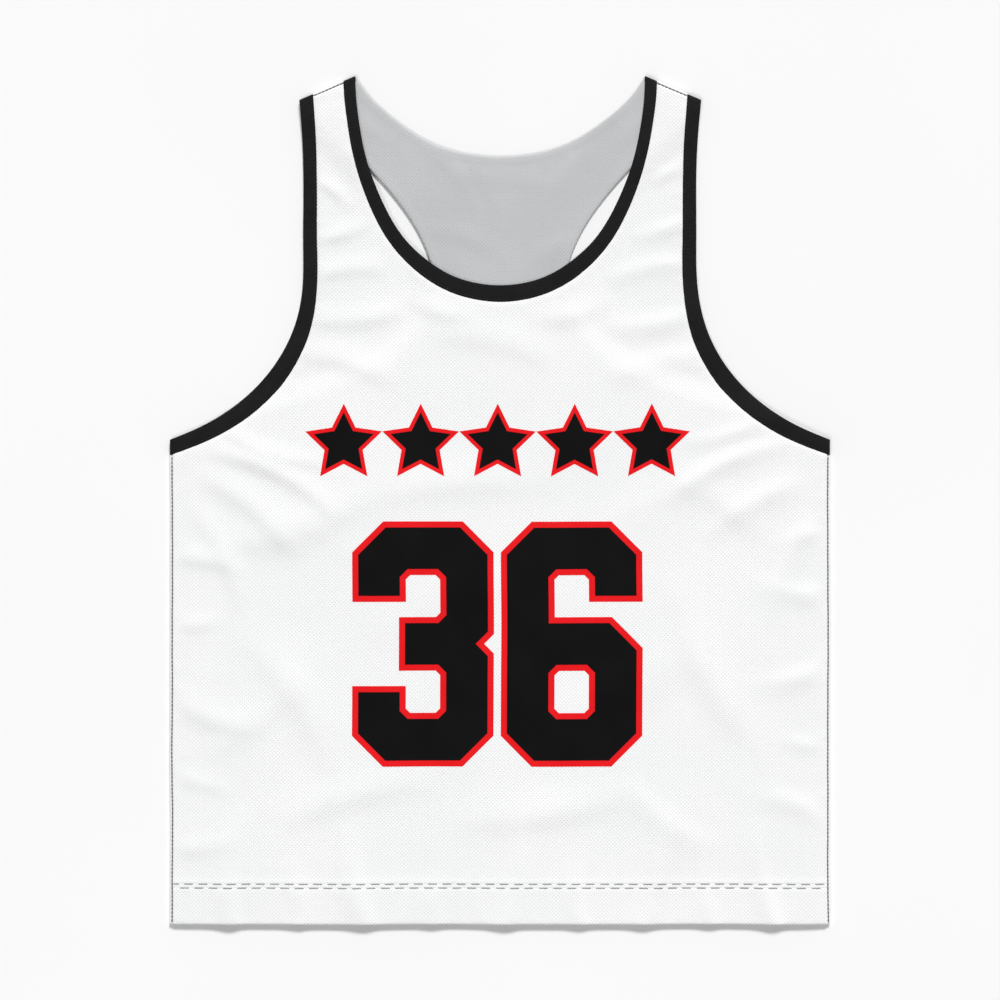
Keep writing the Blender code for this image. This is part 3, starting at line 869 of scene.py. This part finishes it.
# ---- materials ----------------------------------------------------------------
class Look:
    """A node material built by small steps."""

    def __init__(self, name, color, roughness, **sockets):
        self.material = bpy.data.materials.new(name)
        self.material.use_nodes = True
        self.tree = self.material.node_tree
        self.shader = self.tree.nodes["Principled BSDF"]
        self.shader.inputs["Base Color"].default_value = (*color, 1.0)
        self.shader.inputs["Roughness"].default_value = roughness
        for label, value in sockets.items():
            self.shader.inputs[label.replace("_", " ")].default_value = value
        self.material.diffuse_color = (*color, 1.0)

    def node(self, kind, **values):
        node = self.tree.nodes.new(kind)
        for label, value in values.items():
            setattr(node, label, value)
        return node

    def link(self, out, into):
        self.tree.links.new(out, into)

    def place(self):
        return self.node("ShaderNodeTexCoord").outputs["Object"]

    def math(self, operation, a, b=None, c=None):
        node = self.node("ShaderNodeMath", operation=operation)
        for socket, value in zip(node.inputs, (a, b, c)):
            if value is None:
                continue
            if isinstance(value, (int, float)):
                socket.default_value = value
            else:
                self.link(value, socket)
        return node.outputs[0]

    def scaled(self, vector, size, turn=0.0):
        node = self.node("ShaderNodeMapping")
        node.inputs["Scale"].default_value = size if hasattr(size, "__len__") else (size, size, size)
        node.inputs["Rotation"].default_value = (0, 0, turn)
        self.link(vector, node.inputs["Vector"])
        return node.outputs[0]

    def noise(self, vector, scale, detail=3.0, roughness=0.55):
        node = self.node("ShaderNodeTexNoise")
        node.inputs["Scale"].default_value = scale
        node.inputs["Detail"].default_value = detail
        node.inputs["Roughness"].default_value = roughness
        self.link(vector, node.inputs["Vector"])
        return node

    def drift(self, vector, scale, reach):
        """The vector pushed about by a soft noise of that scale, so that no grain is dead straight."""
        noise = self.noise(vector, scale, 1.0)
        centred = self.node("ShaderNodeVectorMath", operation="SUBTRACT")
        self.link(noise.outputs["Color"], centred.inputs[0])
        centred.inputs[1].default_value = (0.5, 0.5, 0.5)
        sized = self.node("ShaderNodeVectorMath", operation="SCALE")
        self.link(centred.outputs[0], sized.inputs[0])
        sized.inputs["Scale"].default_value = reach
        added = self.node("ShaderNodeVectorMath", operation="ADD")
        self.link(vector, added.inputs[0])
        self.link(sized.outputs[0], added.inputs[1])
        return added.outputs[0]

    def ramp(self, value, low, high, to_low=0.0, to_high=1.0):
        node = self.node("ShaderNodeMapRange", interpolation_type="SMOOTHSTEP", clamp=True)
        self.link(value, node.inputs["Value"])
        for label, number in (("From Min", low), ("From Max", high), ("To Min", to_low), ("To Max", to_high)):
            node.inputs[label].default_value = number
        return node.outputs["Result"]

    def mix(self, factor, a, b):
        node = self.node("ShaderNodeMix", data_type="RGBA")
        for socket, value in ((node.inputs[0], factor), (node.inputs[6], a), (node.inputs[7], b)):
            if isinstance(value, (tuple, float, int)):
                socket.default_value = (*value, 1.0) if isinstance(value, tuple) else value
            else:
                self.link(value, socket)
        return node.outputs[2]

    def bump(self, height, distance, strength=1.0, under=None):
        node = self.node("ShaderNodeBump")
        node.inputs["Distance"].default_value = distance
        node.inputs["Strength"].default_value = strength
        self.link(height, node.inputs["Height"])
        if under is not None:
            self.link(under, node.inputs["Normal"])
        return node.outputs["Normal"]

    def finish(self, color=None, normal=None, roughness=None):
        if color is not None:
            self.link(color, self.shader.inputs["Base Color"])
        if normal is not None:
            self.link(normal, self.shader.inputs["Normal"])
        if roughness is not None:
            self.link(roughness, self.shader.inputs["Roughness"])
        return self.material


MESH_CELL = 2.25 * MM  # spacing of the staggered eyelets along the diagonals


def eyelets(look, vector, low=0.17, high=0.33):
    """1 in the eyelets of a micro mesh, 0 between them."""
    grain = look.drift(vector, 11.0, 2.2 * MM)
    turned = look.scaled(grain, 1.0 / MESH_CELL, math.radians(45))
    cells = look.node("ShaderNodeTexVoronoi", voronoi_dimensions="2D", feature="F1")
    cells.inputs["Scale"].default_value = 1.0
    cells.inputs["Randomness"].default_value = 0.10
    look.link(turned, cells.inputs["Vector"])
    facing = look.node("ShaderNodeSeparateXYZ")
    look.link(look.node("ShaderNodeTexCoord").outputs["Normal"], facing.inputs[0])
    flat_on = look.ramp(look.math("ABSOLUTE", facing.outputs[2]), 0.45, 0.85)
    return look.math("MULTIPLY", look.ramp(cells.outputs["Distance"], low, high, 1.0, 0.0), flat_on), grain


def knit_courses(look, vector, across, along):
    """Loops of a plain knit: wales across X, courses along Y."""
    split = look.node("ShaderNodeSeparateXYZ")
    look.link(vector, split.inputs[0])
    wale = look.math("SINE", look.math("MULTIPLY", split.outputs[0], 2 * math.pi / across))
    lean = look.math("MULTIPLY", look.math("ABSOLUTE", wale), 0.9)
    course = look.math(
        "SINE", look.math("ADD", look.math("MULTIPLY", split.outputs[1], 2 * math.pi / along), lean)
    )
    return look.math("ADD", look.math("MULTIPLY", wale, 0.55), look.math("MULTIPLY", course, 0.45))


def white_mesh():
    look = Look(
        "white_mesh_look", (0.88, 0.88, 0.88), 0.72, Sheen_Weight=0.07, Sheen_Roughness=0.45, Specular_IOR_Level=0.22
    )
    where = look.place()
    hole, grain = eyelets(look, where)
    knit = knit_courses(look, grain, 0.75 * MM, 0.9 * MM)
    broad = look.noise(where, 7.0, 3.0).outputs["Fac"]
    body = look.mix(look.ramp(broad, 0.35, 0.65), (0.868, 0.871, 0.876), (0.89, 0.89, 0.889))
    # painted shade in the eyelets: they are painted a mid grey, standing partly for the grey ply beneath and partly
    # for the shade down in the holes
    color = look.mix(look.math("MULTIPLY", hole, 0.38), body, (0.51, 0.52, 0.535))
    soft = look.noise(where, 95.0, 4.0, 0.6).outputs["Fac"]
    normal = look.bump(soft, 0.35 * MM, 0.55)
    normal = look.bump(knit, 0.05 * MM, 0.6, normal)
    normal = look.bump(look.math("SUBTRACT", 1.0, hole), 0.28 * MM, 0.55, normal)
    rough = look.ramp(look.noise(where, 22.0, 2.0).outputs["Fac"], 0.3, 0.7, 0.68, 0.77)
    return look.finish(color, normal, rough)


def grey_knit():
    look = Look(
        "grey_knit_look", (0.54, 0.55, 0.56), 0.74, Sheen_Weight=0.07, Sheen_Roughness=0.45, Specular_IOR_Level=0.22
    )
    where = look.place()
    hole, grain = eyelets(look, where, 0.16, 0.31)
    knit = knit_courses(look, grain, 0.85 * MM, 1.0 * MM)
    broad = look.noise(where, 9.0, 3.0).outputs["Fac"]
    body = look.mix(look.ramp(broad, 0.35, 0.65), (0.495, 0.505, 0.513), (0.53, 0.538, 0.545))
    # painted shade in the eyelets: they are painted darker than the knit, standing in for the shade down in the holes
    color = look.mix(look.math("MULTIPLY", hole, 0.30), body, (0.36, 0.37, 0.38))
    soft = look.noise(where, 95.0, 4.0, 0.6).outputs["Fac"]
    normal = look.bump(soft, 0.35 * MM, 0.55)
    normal = look.bump(knit, 0.05 * MM, 0.6, normal)
    normal = look.bump(look.math("SUBTRACT", 1.0, hole), 0.26 * MM, 0.5, normal)
    rough = look.ramp(look.noise(where, 22.0, 2.0).outputs["Fac"], 0.3, 0.7, 0.68, 0.78)
    return look.finish(color, normal, rough)


def black_band():
    look = Look(
        "black_band_look", (0.008, 0.007, 0.0074), 0.8, Sheen_Weight=0.02, Sheen_Roughness=0.5, Specular_IOR_Level=0.14
    )
    run = look.node("ShaderNodeAttribute", attribute_name="run").outputs["Vector"]
    split = look.node("ShaderNodeSeparateXYZ")
    look.link(run, split.inputs[0])
    rib = look.math("SINE", look.math("MULTIPLY", split.outputs[0], 2 * math.pi / (1.5 * MM)))
    where = look.place()
    fuzz = look.noise(where, 420.0, 4.0, 0.6).outputs["Fac"]
    broad = look.noise(where, 30.0, 2.0).outputs["Fac"]
    color = look.mix(look.ramp(broad, 0.3, 0.7), (0.0065, 0.0058, 0.006), (0.0095, 0.0085, 0.0088))
    # painted shade in the rib valleys: the troughs of the rib are painted blacker than its crests
    color = look.mix(look.ramp(rib, -1.0, 0.2, 0.35, 0.0), color, (0.004, 0.004, 0.004))
    normal = look.bump(fuzz, 0.25 * MM, 0.5)
    normal = look.bump(rib, 0.12 * MM, 0.7, normal)
    return look.finish(color, normal, look.ramp(fuzz, 0.3, 0.7, 0.68, 0.82))


def film(name, dark, light, roughness, level):
    look = Look(name, dark, roughness, Specular_IOR_Level=level, IOR=1.3)
    where = look.place()
    hole, _ = eyelets(look, where, 0.12, 0.42)
    broad = look.noise(where, 26.0, 3.0).outputs["Fac"]
    color = look.mix(look.ramp(broad, 0.3, 0.7), dark, light)
    grit = look.noise(where, 1500.0, 2.0, 0.5).outputs["Fac"]
    normal = look.bump(grit, 0.03 * MM, 0.4)
    normal = look.bump(look.math("SUBTRACT", 1.0, hole), 0.10 * MM, 0.35, normal)
    rough = look.ramp(look.noise(where, 210.0, 3.0).outputs["Fac"], 0.3, 0.7, roughness - 0.015, roughness + 0.02)
    return look.finish(color, normal, rough)


def spun(name, color, roughness):
    look = Look(name, color, roughness, Specular_IOR_Level=0.3)
    where = look.place()
    ply = look.noise(look.scaled(where, (900.0, 2600.0, 900.0)), 1.0, 2.0).outputs["Fac"]
    shade = look.mix(look.ramp(ply, 0.3, 0.7), tuple(0.8 * c for c in color), tuple(min(1.0, 1.15 * c) for c in color))
    return look.finish(shade, look.bump(ply, 0.1 * MM, 0.6))


look_white, look_grey, look_band = white_mesh(), grey_knit(), black_band()
look_black = film("print_black_look", (0.0018, 0.0018, 0.0019), (0.003, 0.003, 0.0032), 0.62, 0.22)
look_red = film("print_red_look", (0.73, 0.006, 0.009), (0.78, 0.008, 0.012), 0.60, 0.26)
look_thread = spun("grey_thread_look", (0.33, 0.335, 0.345), 0.7)
look_seam_thread = spun("seam_thread_look", (0.115, 0.117, 0.122), 0.7)
look_black_thread = spun("black_thread_look", (0.012, 0.011, 0.012), 0.6)


# ---- the front ----------------------------------------------------------------
def lines_across(heights, low=-HALF_CHEST, high=HALF_CHEST, step=3.1525):
    count = int(round((high - low) / step))
    return [np.column_stack([np.linspace(low, high, count + 1), np.full(count + 1, y)]) for y in heights]


def side_lines(depths, top):
    out = []
    for depth in depths:
        for side in (-1, 1):
            x = side * (HALF_CHEST - depth)
            count = int(top / 3.0)
            out.append(np.column_stack([np.full(count + 1, x), np.linspace(-1.0, top, count + 1)]))
    return out


def shoulder_lines(depths):
    out = []
    for depth in depths:
        a = np.array(NECK_CORNER) - SHOULDER_DIRECTION * 6 + SHOULDER_INWARD * depth
        b = np.array(STRAP_CORNER) + SHOULDER_DIRECTION * 6 + SHOULDER_INWARD * depth
        line = a + (b - a) * np.linspace(0, 1, 26)[:, None]
        out += [line, line * (-1, 1)]
    return out


TURN_DEPTHS = (0.12, 0.45, 1.0, 1.9, 3.0, EDGE_TURN)
SEAM_DEPTHS = (0.12, 0.42, 0.75, 1.05, 1.32, 1.58, 1.84, 2.1, 2.38, 2.7, 3.2, EDGE_TURN)
HEM_LINES = (0.15, 0.5, 1.1, 2.0, 3.4, 30.4, 31.1, 31.8, 32.5, 33.5, 34.6, 35.3, 36.0, 37.0, 38.4, 40.0)

front_outline = panel(front_neck.line, front_arm.line)
shell_loop = panel(front_neck.seam(-TUCK), front_arm.seam(-TUCK))
lining_loop = panel(front_neck.at(SETBACK), front_arm.at(SETBACK), INNER_INSET, 1.2)
seam_lines = [front_neck.seam(), front_arm.seam(), front_arm.seam() * (-1, 1)]
beside = [front_neck.seam(d) for d in (0.7, 1.5, 3.0)]
for d in (0.7, 1.5, 3.0):
    beside += [front_arm.seam(d), front_arm.seam(d) * (-1, 1)]
film_loops = []
for _, black_loops, red_loops in films:
    film_loops += [dense(np.array(loop), 3.4) for loop in black_loops + red_loops]

front = Cloth(
    front_outline,
    side_lines(SEAM_DEPTHS, 440.0) + shoulder_lines(SEAM_DEPTHS) + lines_across(HEM_LINES) + seam_lines + beside,
    [shell_loop, lining_loop] + film_loops,
    FRONT_LATTICE,
    seam_lines,
)
level = front_level(front.flat)
turned = turn(front.flat)


def seam_profile(points, seams, puckers):
    """Rise of the panel beside its bands: a ditch at each seam, gathers running off it."""
    rise = np.zeros(len(points))
    for line, gathers in zip(seams, puckers):
        away, run, side = along_line(points, line, 60.0)
        on_panel = side > 0
        ditch = np.where(on_panel, -0.55 * np.exp(-((away / 1.5) ** 1.6)), -0.55 - 0.2 * np.clip(away, 0, 1.3))
        band_lift = np.where(on_panel & (away < 60), gathers(run, away), 0.0)
        rise += np.where((away < 60) & (on_panel | (away < 1.6)), ditch, 0.0) + band_lift
    return rise


front_puckers = [
    Puckers(run_of(seam_lines[0])[-1], 10.0, 0.34, 10.0, 2.6),
    Puckers(run_of(seam_lines[1])[-1], 9.0, 0.36, 11.0, 2.6),
    Puckers(run_of(seam_lines[2])[-1], 9.0, 0.36, 11.0, 2.6),
]
# the right seam line runs the other way round, so its panel is on its right
mirror_seam = seam_lines[2][::-1]
front_rise = seam_profile(front.flat, [seam_lines[0], seam_lines[1], mirror_seam], front_puckers)

side_gathers = {-1: Puckers(430.0, 15.0, 0.42, 12.0, 3.2), 1: Puckers(430.0, 15.0, 0.42, 12.0, 3.2)}
hem_gathers = Puckers(580.0, 13.0, 0.26, 15.0, 3.4)
hem_edge_gathers = Puckers(580.0, 17.0, 0.30, 22.0, 4.5)


def side_rise(points, gathers):
    rise = np.zeros(len(points))
    below = points[:, 1] < 430.0
    for side, made in gathers.items():
        depth = HALF_CHEST - side * points[:, 0]
        near = below & (depth < 60)
        some = made(points[near, 1], np.clip(depth[near], 0, None))
        rise[near] += some * smooth((depth[near] - 0.5) / 5.0)
    return rise


def rolled_middle(run):
    return SEAM_IN + 0.10 * np.sin(run / 17.0) + 0.05 * np.sin(run / 6.1 + 1.0)


def rolled_seam(points):
    """The ditch of the side and shoulder seams, which have rolled a little on to the front."""
    depth = np.minimum(side_depth(points), shoulder_depth(points))
    middle = rolled_middle(points[:, 0] + points[:, 1])
    return -SEAM_DITCH * np.exp(-(((depth - middle) / SEAM_HALF) ** 2))


def hem_rise(points, gathers, edge_gathers):
    y = points[:, 1]
    rise = 0.34 * (1.0 - smooth((y - HEM_TURN + 0.4) / 2.4))
    rise -= 0.75 * (1.0 - np.sqrt(np.clip(1.0 - (1.0 - np.clip(y / 2.0, 0, 1)) ** 2, 0, 1)))
    for row in HEM_ROWS:
        rise -= 0.26 * np.exp(-(((y - row) / 0.85) ** 2))
    run = points[:, 0] + HALF_CHEST
    rise += gathers(run, np.clip(y - HEM_ROWS[1], 0, None)) * (y > HEM_ROWS[1] - 6)
    inner = np.clip(HEM_ROWS[0] - y, 0, None)
    rise += 0.8 * gathers(run, inner * 1.2) * (y < HEM_ROWS[0])
    rise += edge_gathers(run, np.clip(y, 0, None)) * smooth((y - 0.2) / 3.0)
    return rise


top = level - turned * EDGE_DROP + WALL + front_rise
top += side_rise(front.flat, side_gathers) + hem_rise(front.flat, hem_gathers, hem_edge_gathers)
top += rolled_seam(front.flat)
under = np.minimum(level - turned * EDGE_DROP, top - 0.16)

flat, faces, used = front.part([shell_loop])
white_front = shell("white_front", flat, faces, under[used], top[used], look_white)

flat, faces, used = front.part([lining_loop])
lining_top = level[used] - STEP + WALL
grey_front = shell("grey_front", flat, faces, lining_top - WALL, lining_top, look_grey)

pieces = [white_front, grey_front]
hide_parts("outer_front")
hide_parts("inner_front")

# pressed film, cut from the front's own triangles and moved out
film_pieces = []
for label, black_loops, red_loops in films:
    for ending, loops, low, high, look, slot, nodes in (
        ("_red", red_loops, 0.03, 0.17, look_red, "print_red", [label + "_outline"]),
        ("_black", black_loops, 0.18, 0.32, look_black, "print_black", [label + "_fill"]),
    ):
        if ending == "_red" and label == "number_six":
            nodes = nodes + ["number_six_counter_outline"]
        flat, faces, used = front.part([np.array(loop) for loop in loops])
        piece = shell(label + ending, flat, faces, top[used] + low, top[used] + high, look, 0.03)
        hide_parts(*nodes)
        film_pieces.append(piece)


# ---- bands --------------------------------------------------------------------
def raised_section(width):
    """Round a band that lies face up: (distance in from the cut edge, rise above the white ply's underside)."""
    w = width
    return np.array(
        [
            (0.00, 0.30),
            (0.10, 0.68),
            (0.42, 1.00),
            (1.00, 1.20),
            (2.00, 1.30),
            (0.34 * w, 1.35),
            (0.58 * w, 1.35),
            (w - 3.0, 1.30),
            (w - 2.3, 1.21),
            (w - 1.9, 1.13),
            (w - 1.5, 1.18),
            (w - 0.8, 1.08),
            (w - 0.3, 0.88),
            (w, 0.62),
            (w - 0.05, 0.36),
            (w - 1.6, 0.34),
            (w - 2.2, 0.08),
            (0.5 * w, 0.05),
            (0.30, 0.05),
        ]
    )[::-1]


def lying_section(width):
    """Round a band that lies face down on the floor: (distance in, rise above the floor)."""
    w = width
    return np.array(
        [
            (SETBACK + 0.0, 0.45),
            (SETBACK + 0.15, 0.80),
            (SETBACK + 0.5, 0.95),
            (0.5 * w, 0.97),
            (w - 0.3, 0.95),
            (w, 0.70),
            (w - 0.1, 0.35),
            (w - 0.6, 0.12),
            (w - 1.6, 0.05),
            (w - 1.9, 0.10),
            (w - 2.3, 0.05),
            (0.5 * w, 0.03),
            (SETBACK + 1.2, 0.05),
            (SETBACK + 0.4, 0.15),
        ]
    )[::-1]


band_pucker = Puckers(1200.0, 7.0, 0.10, 30.0, 1.9)


def front_band_level(points):
    """Where a band of the front lies, turned in at side and shoulder."""
    away, run, _ = along_line(points, front_neck.line, 30.0)
    arm_away, arm_run, _ = along_line(np.abs(points * (1, 1)), front_arm.line, 30.0)
    run = np.where(away < arm_away, run, 560.0 + arm_run)
    return front_level(points) - turn(points) * EDGE_DROP + band_pucker(run, np.zeros(len(run)))


def back_band_level(points):
    return back_lift(points) * 0.0 + turn(points) * EDGE_DROP


def band(name, edge, section, level_of, node, side=1):
    piece = strip(name, edge, section, level_of, look_band, side)
    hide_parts(node)
    return piece


front_bands = [
    band("band_neck_front", front_neck, raised_section, front_band_level, "neck_trim_front"),
    band("band_armhole_front_left", front_arm, raised_section, front_band_level, "armhole_trim_front_left"),
    band("band_armhole_front_right", front_arm, raised_section, front_band_level, "armhole_trim_front_right", -1),
]
back_bands = [
    band("band_neck_back", back_neck, lying_section, back_band_level, "neck_trim_back"),
    band("band_armhole_back_left", back_arm, lying_section, back_band_level, "armhole_trim_back_left"),
    band("band_armhole_back_right", back_arm, lying_section, back_band_level, "armhole_trim_back_right", -1),
]

# ---- the back -----------------------------------------------------------------
back_outline = panel(back_neck.line, back_arm.line)
back_shell_loop = panel(back_neck.seam(0.25), back_arm.seam(0.25))
back_lining_loop = panel(back_neck.line, back_arm.line, INNER_INSET, 1.2)


def neck_wedge():
    """The back's lining in the neck corner, from its inset up to the shoulder seam."""
    depths = np.linspace(0.9, INNER_INSET, 6)
    sides = []
    for line in (back_neck.line, front_neck.at(-0.3)):
        start = line[:40]
        sides.append(np.column_stack([np.interp(depths, shoulder_depth(start), start[:, k]) for k in (0, 1)]))
    return dense(np.vstack([sides[1], sides[0][::-1]]), 1.0)


left_wedge = neck_wedge()
back_edges = [back_neck.line, back_arm.line, back_arm.line * (-1, 1)]
edge_rows = []
for d in (0.15, 0.5, 1.1, 2.0, 3.4, 5.2, 7.0, 9.0):
    edge_rows += [back_neck.at(d), back_arm.at(d), back_arm.at(d) * (-1, 1)]
back = Cloth(
    back_outline,
    side_lines(TURN_DEPTHS, 440.0) + shoulder_lines(TURN_DEPTHS) + lines_across(HEM_LINES) + edge_rows,
    [back_shell_loop, back_lining_loop, left_wedge, left_wedge * (-1, 1)],
    BACK_LATTICE,
    back_edges,
)
lift = back_lift(back.flat)
turned_back = turn(back.flat)

flat, faces, used = back.part([back_shell_loop])
low = turned_back[used] * EDGE_DROP
hem_low = np.zeros(len(flat))
for row in HEM_ROWS:
    hem_low += 0.26 * np.exp(-(((flat[:, 1] - row) / 0.85) ** 2))
hem_low += 0.45 * (1.0 - np.sqrt(np.clip(1.0 - (1.0 - np.clip(flat[:, 1] / 2.0, 0, 1)) ** 2, 0, 1)))
white_back = shell("white_back", flat, faces, low + hem_low, low + 0.95, look_white)
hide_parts("outer_back")

flat, faces, used = back.part([back_lining_loop, left_wedge, left_wedge * (-1, 1)])
away = along_line(flat, back_neck.line, 60.0)[0]
for line in back_edges[1:]:
    away = np.minimum(away, along_line(flat, line, 60.0)[0])
raised = 0.26 * smooth(away / 1.6) * (1.0 - smooth((away - 5.4) / 2.4))
rounded = -0.62 * (1.0 - np.sqrt(np.clip(1.0 - (1.0 - np.clip(away / 1.3, 0, 1)) ** 2, 0, 1)))
edge_puckers = Puckers(1400.0, 9.0, 0.22, 13.0, 2.6)
neck_away, neck_run, _ = along_line(flat, back_neck.line, 60.0)
gathers = edge_puckers(neck_run, np.clip(neck_away - 5.5, 0, None)) * smooth(neck_away / 6.0)
grey_low = BACK_INNER_Z + lift[used] + turned_back[used] * EDGE_DROP
grey_back = shell("grey_back", flat, faces, grey_low, grey_low + WALL + raised + rounded + gathers, look_grey, 0.2)
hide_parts("inner_back")
pieces += [white_back, grey_back]


# ---- thread -------------------------------------------------------------------
def surface_at(points):
    """Top of the white front near the hem, at any points."""
    base = front_level(points) - turn(points) * EDGE_DROP + WALL
    return base + side_rise(points, side_gathers) + hem_rise(points, hem_gathers, hem_edge_gathers)


starts, ends = [], []
for row, first in zip(HEM_ROWS, HEM_START):
    for k in range(-2, 48):
        middle = first + k * HEM_PITCH
        slip = 0.14 * math.sin(2.3 * k + row)
        tilt = 0.05 * math.sin(1.7 * k + 0.6 * row)
        near = np.clip(middle - HEM_STITCH / 2 + slip, 3.0 - HALF_CHEST, HALF_CHEST - 3.0)
        far = np.clip(middle + HEM_STITCH / 2 + slip, 3.0 - HALF_CHEST, HALF_CHEST - 3.0)
        if far - near > 2.4:
            starts.append((near, row - tilt))
            ends.append((far, row + tilt))
starts, ends = np.array(starts), np.array(ends)
hem_front = thread(
    "hem_stitches_front",
    np.column_stack([starts, surface_at(starts) + 0.16]),
    np.column_stack([ends, surface_at(ends) + 0.16]),
    1.22,
    0.55,
    look_thread,
    0.22,
    surface_at((starts + ends) / 2) - (surface_at(starts) + surface_at(ends)) / 2,
)
hem_back = thread(
    "hem_stitches_back",
    np.column_stack([starts, np.full(len(starts), 0.30)]),
    np.column_stack([ends, np.full(len(ends), 0.30)]),
    1.22,
    0.5,
    look_thread,
    -0.2,
)


def rolled_path(corner, along, inward, low, high, step):
    """Points down the middle of a rolled seam, from low to high along it."""
    at = np.arange(low, high, step)[:, None]
    edge = np.array(corner) + np.array(along) * at
    run = (edge + np.array(inward) * SEAM_IN).sum(axis=1)
    return edge + np.array(inward) * rolled_middle(run)[:, None]


def seam_level(points):
    """Bottom of the ditch of the rolled seams."""
    return surface_at(points) + rolled_seam(points)


def rolled_stitches():
    """Stitches that show in the rolled seams of the sides and shoulders."""
    begin, finish = [], []
    flip = np.array((-1.0, 1.0))
    paths = []
    for side in (1, -1):
        paths.append(rolled_path((side * HALF_CHEST, 0.0), (0.0, 1.0), (-side, 0.0), 1.6, 425.0, 0.5))
        mirror = flip if side < 0 else 1.0
        paths.append(
            rolled_path(np.array(NECK_CORNER) * mirror, SHOULDER_DIRECTION * mirror, SHOULDER_INWARD * mirror, 2.0, 52.0, 0.5)
        )
    for path in paths:
        keep = inside(path, [panel(front_neck.seam(0.2), front_arm.seam(0.2))])
        path = path[keep]
        for k in range(0, len(path) - 3, 7):
            begin.append(path[k])
            finish.append(path[min(k + 6, len(path) - 1)])
    begin, finish = np.array(begin), np.array(finish)
    return thread(
        "seam_stitches",
        np.column_stack([begin, seam_level(begin) + 0.52]),
        np.column_stack([finish, seam_level(finish) + 0.52]),
        1.26,
        0.56,
        look_seam_thread,
        0.10,
    )


def topstitch(name, edge, level_of, rise, side):
    """A fine row of stitches just inside a band's seam."""
    line = edge.seam(-1.9)
    run = run_of(line)
    at = np.arange(4.0, run[-1] - 4.0, 3.3)
    a = np.column_stack([np.interp(at, run, line[:, k]) for k in (0, 1)]) * (side, 1)
    b = np.column_stack([np.interp(at + 2.35, run, line[:, k]) for k in (0, 1)]) * (side, 1)
    keep = np.ones(len(a), bool)
    for ends_of in (a, b):
        keep &= (side_depth(ends_of) > 1.2) & (shoulder_depth(ends_of) > 1.2)
    a, b = a[keep], b[keep]
    return thread(
        name,
        np.column_stack([a, level_of(a) + rise]),
        np.column_stack([b, level_of(b) + rise]),
        0.42,
        0.30,
        look_black_thread,
        0.12 if rise > 0.5 else -0.1,
    )


front_threads = [
    rolled_stitches(),
    topstitch("stitches_neck_front", front_neck, front_band_level, 1.16, 1),
    topstitch("stitches_armhole_front_left", front_arm, front_band_level, 1.16, 1),
    topstitch("stitches_armhole_front_right", front_arm, front_band_level, 1.16, -1),
]
back_threads = [
    topstitch("stitches_neck_back", back_neck, back_band_level, 0.16, 1),
    topstitch("stitches_armhole_back_left", back_arm, back_band_level, 0.16, 1),
    topstitch("stitches_armhole_back_right", back_arm, back_band_level, 0.16, -1),
]

# ---- what rides ---------------------------------------------------------------
for piece in pieces + film_pieces + front_bands + back_bands + [hem_front, hem_back] + front_threads + back_threads:
    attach(piece, "root")

# ---- floor, light and camera --------------------------------------------------
floor_mesh = bpy.data.meshes.new("floor")
floor_mesh.from_pydata(
    [(-6, -6, -0.0002), (6, -6, -0.0002), (6, 6, -0.0002), (-6, 6, -0.0002)], [], [(0, 1, 2, 3)]
)
floor = bpy.data.objects.new("floor", floor_mesh)
bpy.context.scene.collection.objects.link(floor)
floor_look = Look("floor_look", (0.875, 0.875, 0.875), 0.9, Specular_IOR_Level=0.1)
floor_where = floor_look.place()
floor_tone = floor_look.noise(floor_where, 2.0, 2.0).outputs["Fac"]
floor_mesh.materials.append(
    floor_look.finish(floor_look.mix(floor_look.ramp(floor_tone, 0.3, 0.7), (0.868, 0.868, 0.870), (0.880, 0.880, 0.880)))
)
floor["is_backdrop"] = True

world = bpy.data.worlds.new("studio")
world.use_nodes = True
sky = world.node_tree
direction = sky.nodes.new("ShaderNodeTexCoord")
parts = sky.nodes.new("ShaderNodeSeparateXYZ")
fade = sky.nodes.new("ShaderNodeMapRange")
fade.interpolation_type = "SMOOTHSTEP"
for label, number in (("From Min", -0.02), ("From Max", 0.55), ("To Min", 0.84), ("To Max", 0.25)):
    fade.inputs[label].default_value = number
sky.links.new(direction.outputs["Generated"], parts.inputs[0])
sky.links.new(parts.outputs[2], fade.inputs["Value"])
sky.links.new(fade.outputs["Result"], sky.nodes["Background"].inputs["Strength"])
sky.nodes["Background"].inputs["Color"].default_value = (1.0, 1.0, 1.0, 1.0)
bpy.context.scene.world = world


def sun(name, place, width, power):
    """A distant lamp in that direction, as wide as that angle in degrees."""
    lamp = bpy.data.lights.new(name, "SUN")
    lamp.angle = math.radians(width)
    lamp.energy = power
    holder = bpy.data.objects.new(name, lamp)
    holder.location = place
    holder.rotation_euler = Vector(place).to_track_quat("Z", "Y").to_euler()
    bpy.context.scene.collection.objects.link(holder)


sun("key", (0.42, 1.86, 1.60), 13.0, 2.95)
sun("fill", (-0.9, -1.5, 2.2), 20.0, 0.76)

camera = bpy.data.cameras.new("camera")
camera.sensor_width = 36.0
camera.lens = 100.0
holder = bpy.data.objects.new("camera", camera)
holder.location = (0.0, 0.0, 0.005 + 0.5 * 0.87879 / (18.0 / 100.0))
bpy.context.scene.collection.objects.link(holder)
bpy.context.scene.camera = holder

bpy.context.scene.view_settings.view_transform = "Standard"
bpy.context.scene.view_settings.look = "None"

low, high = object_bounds()
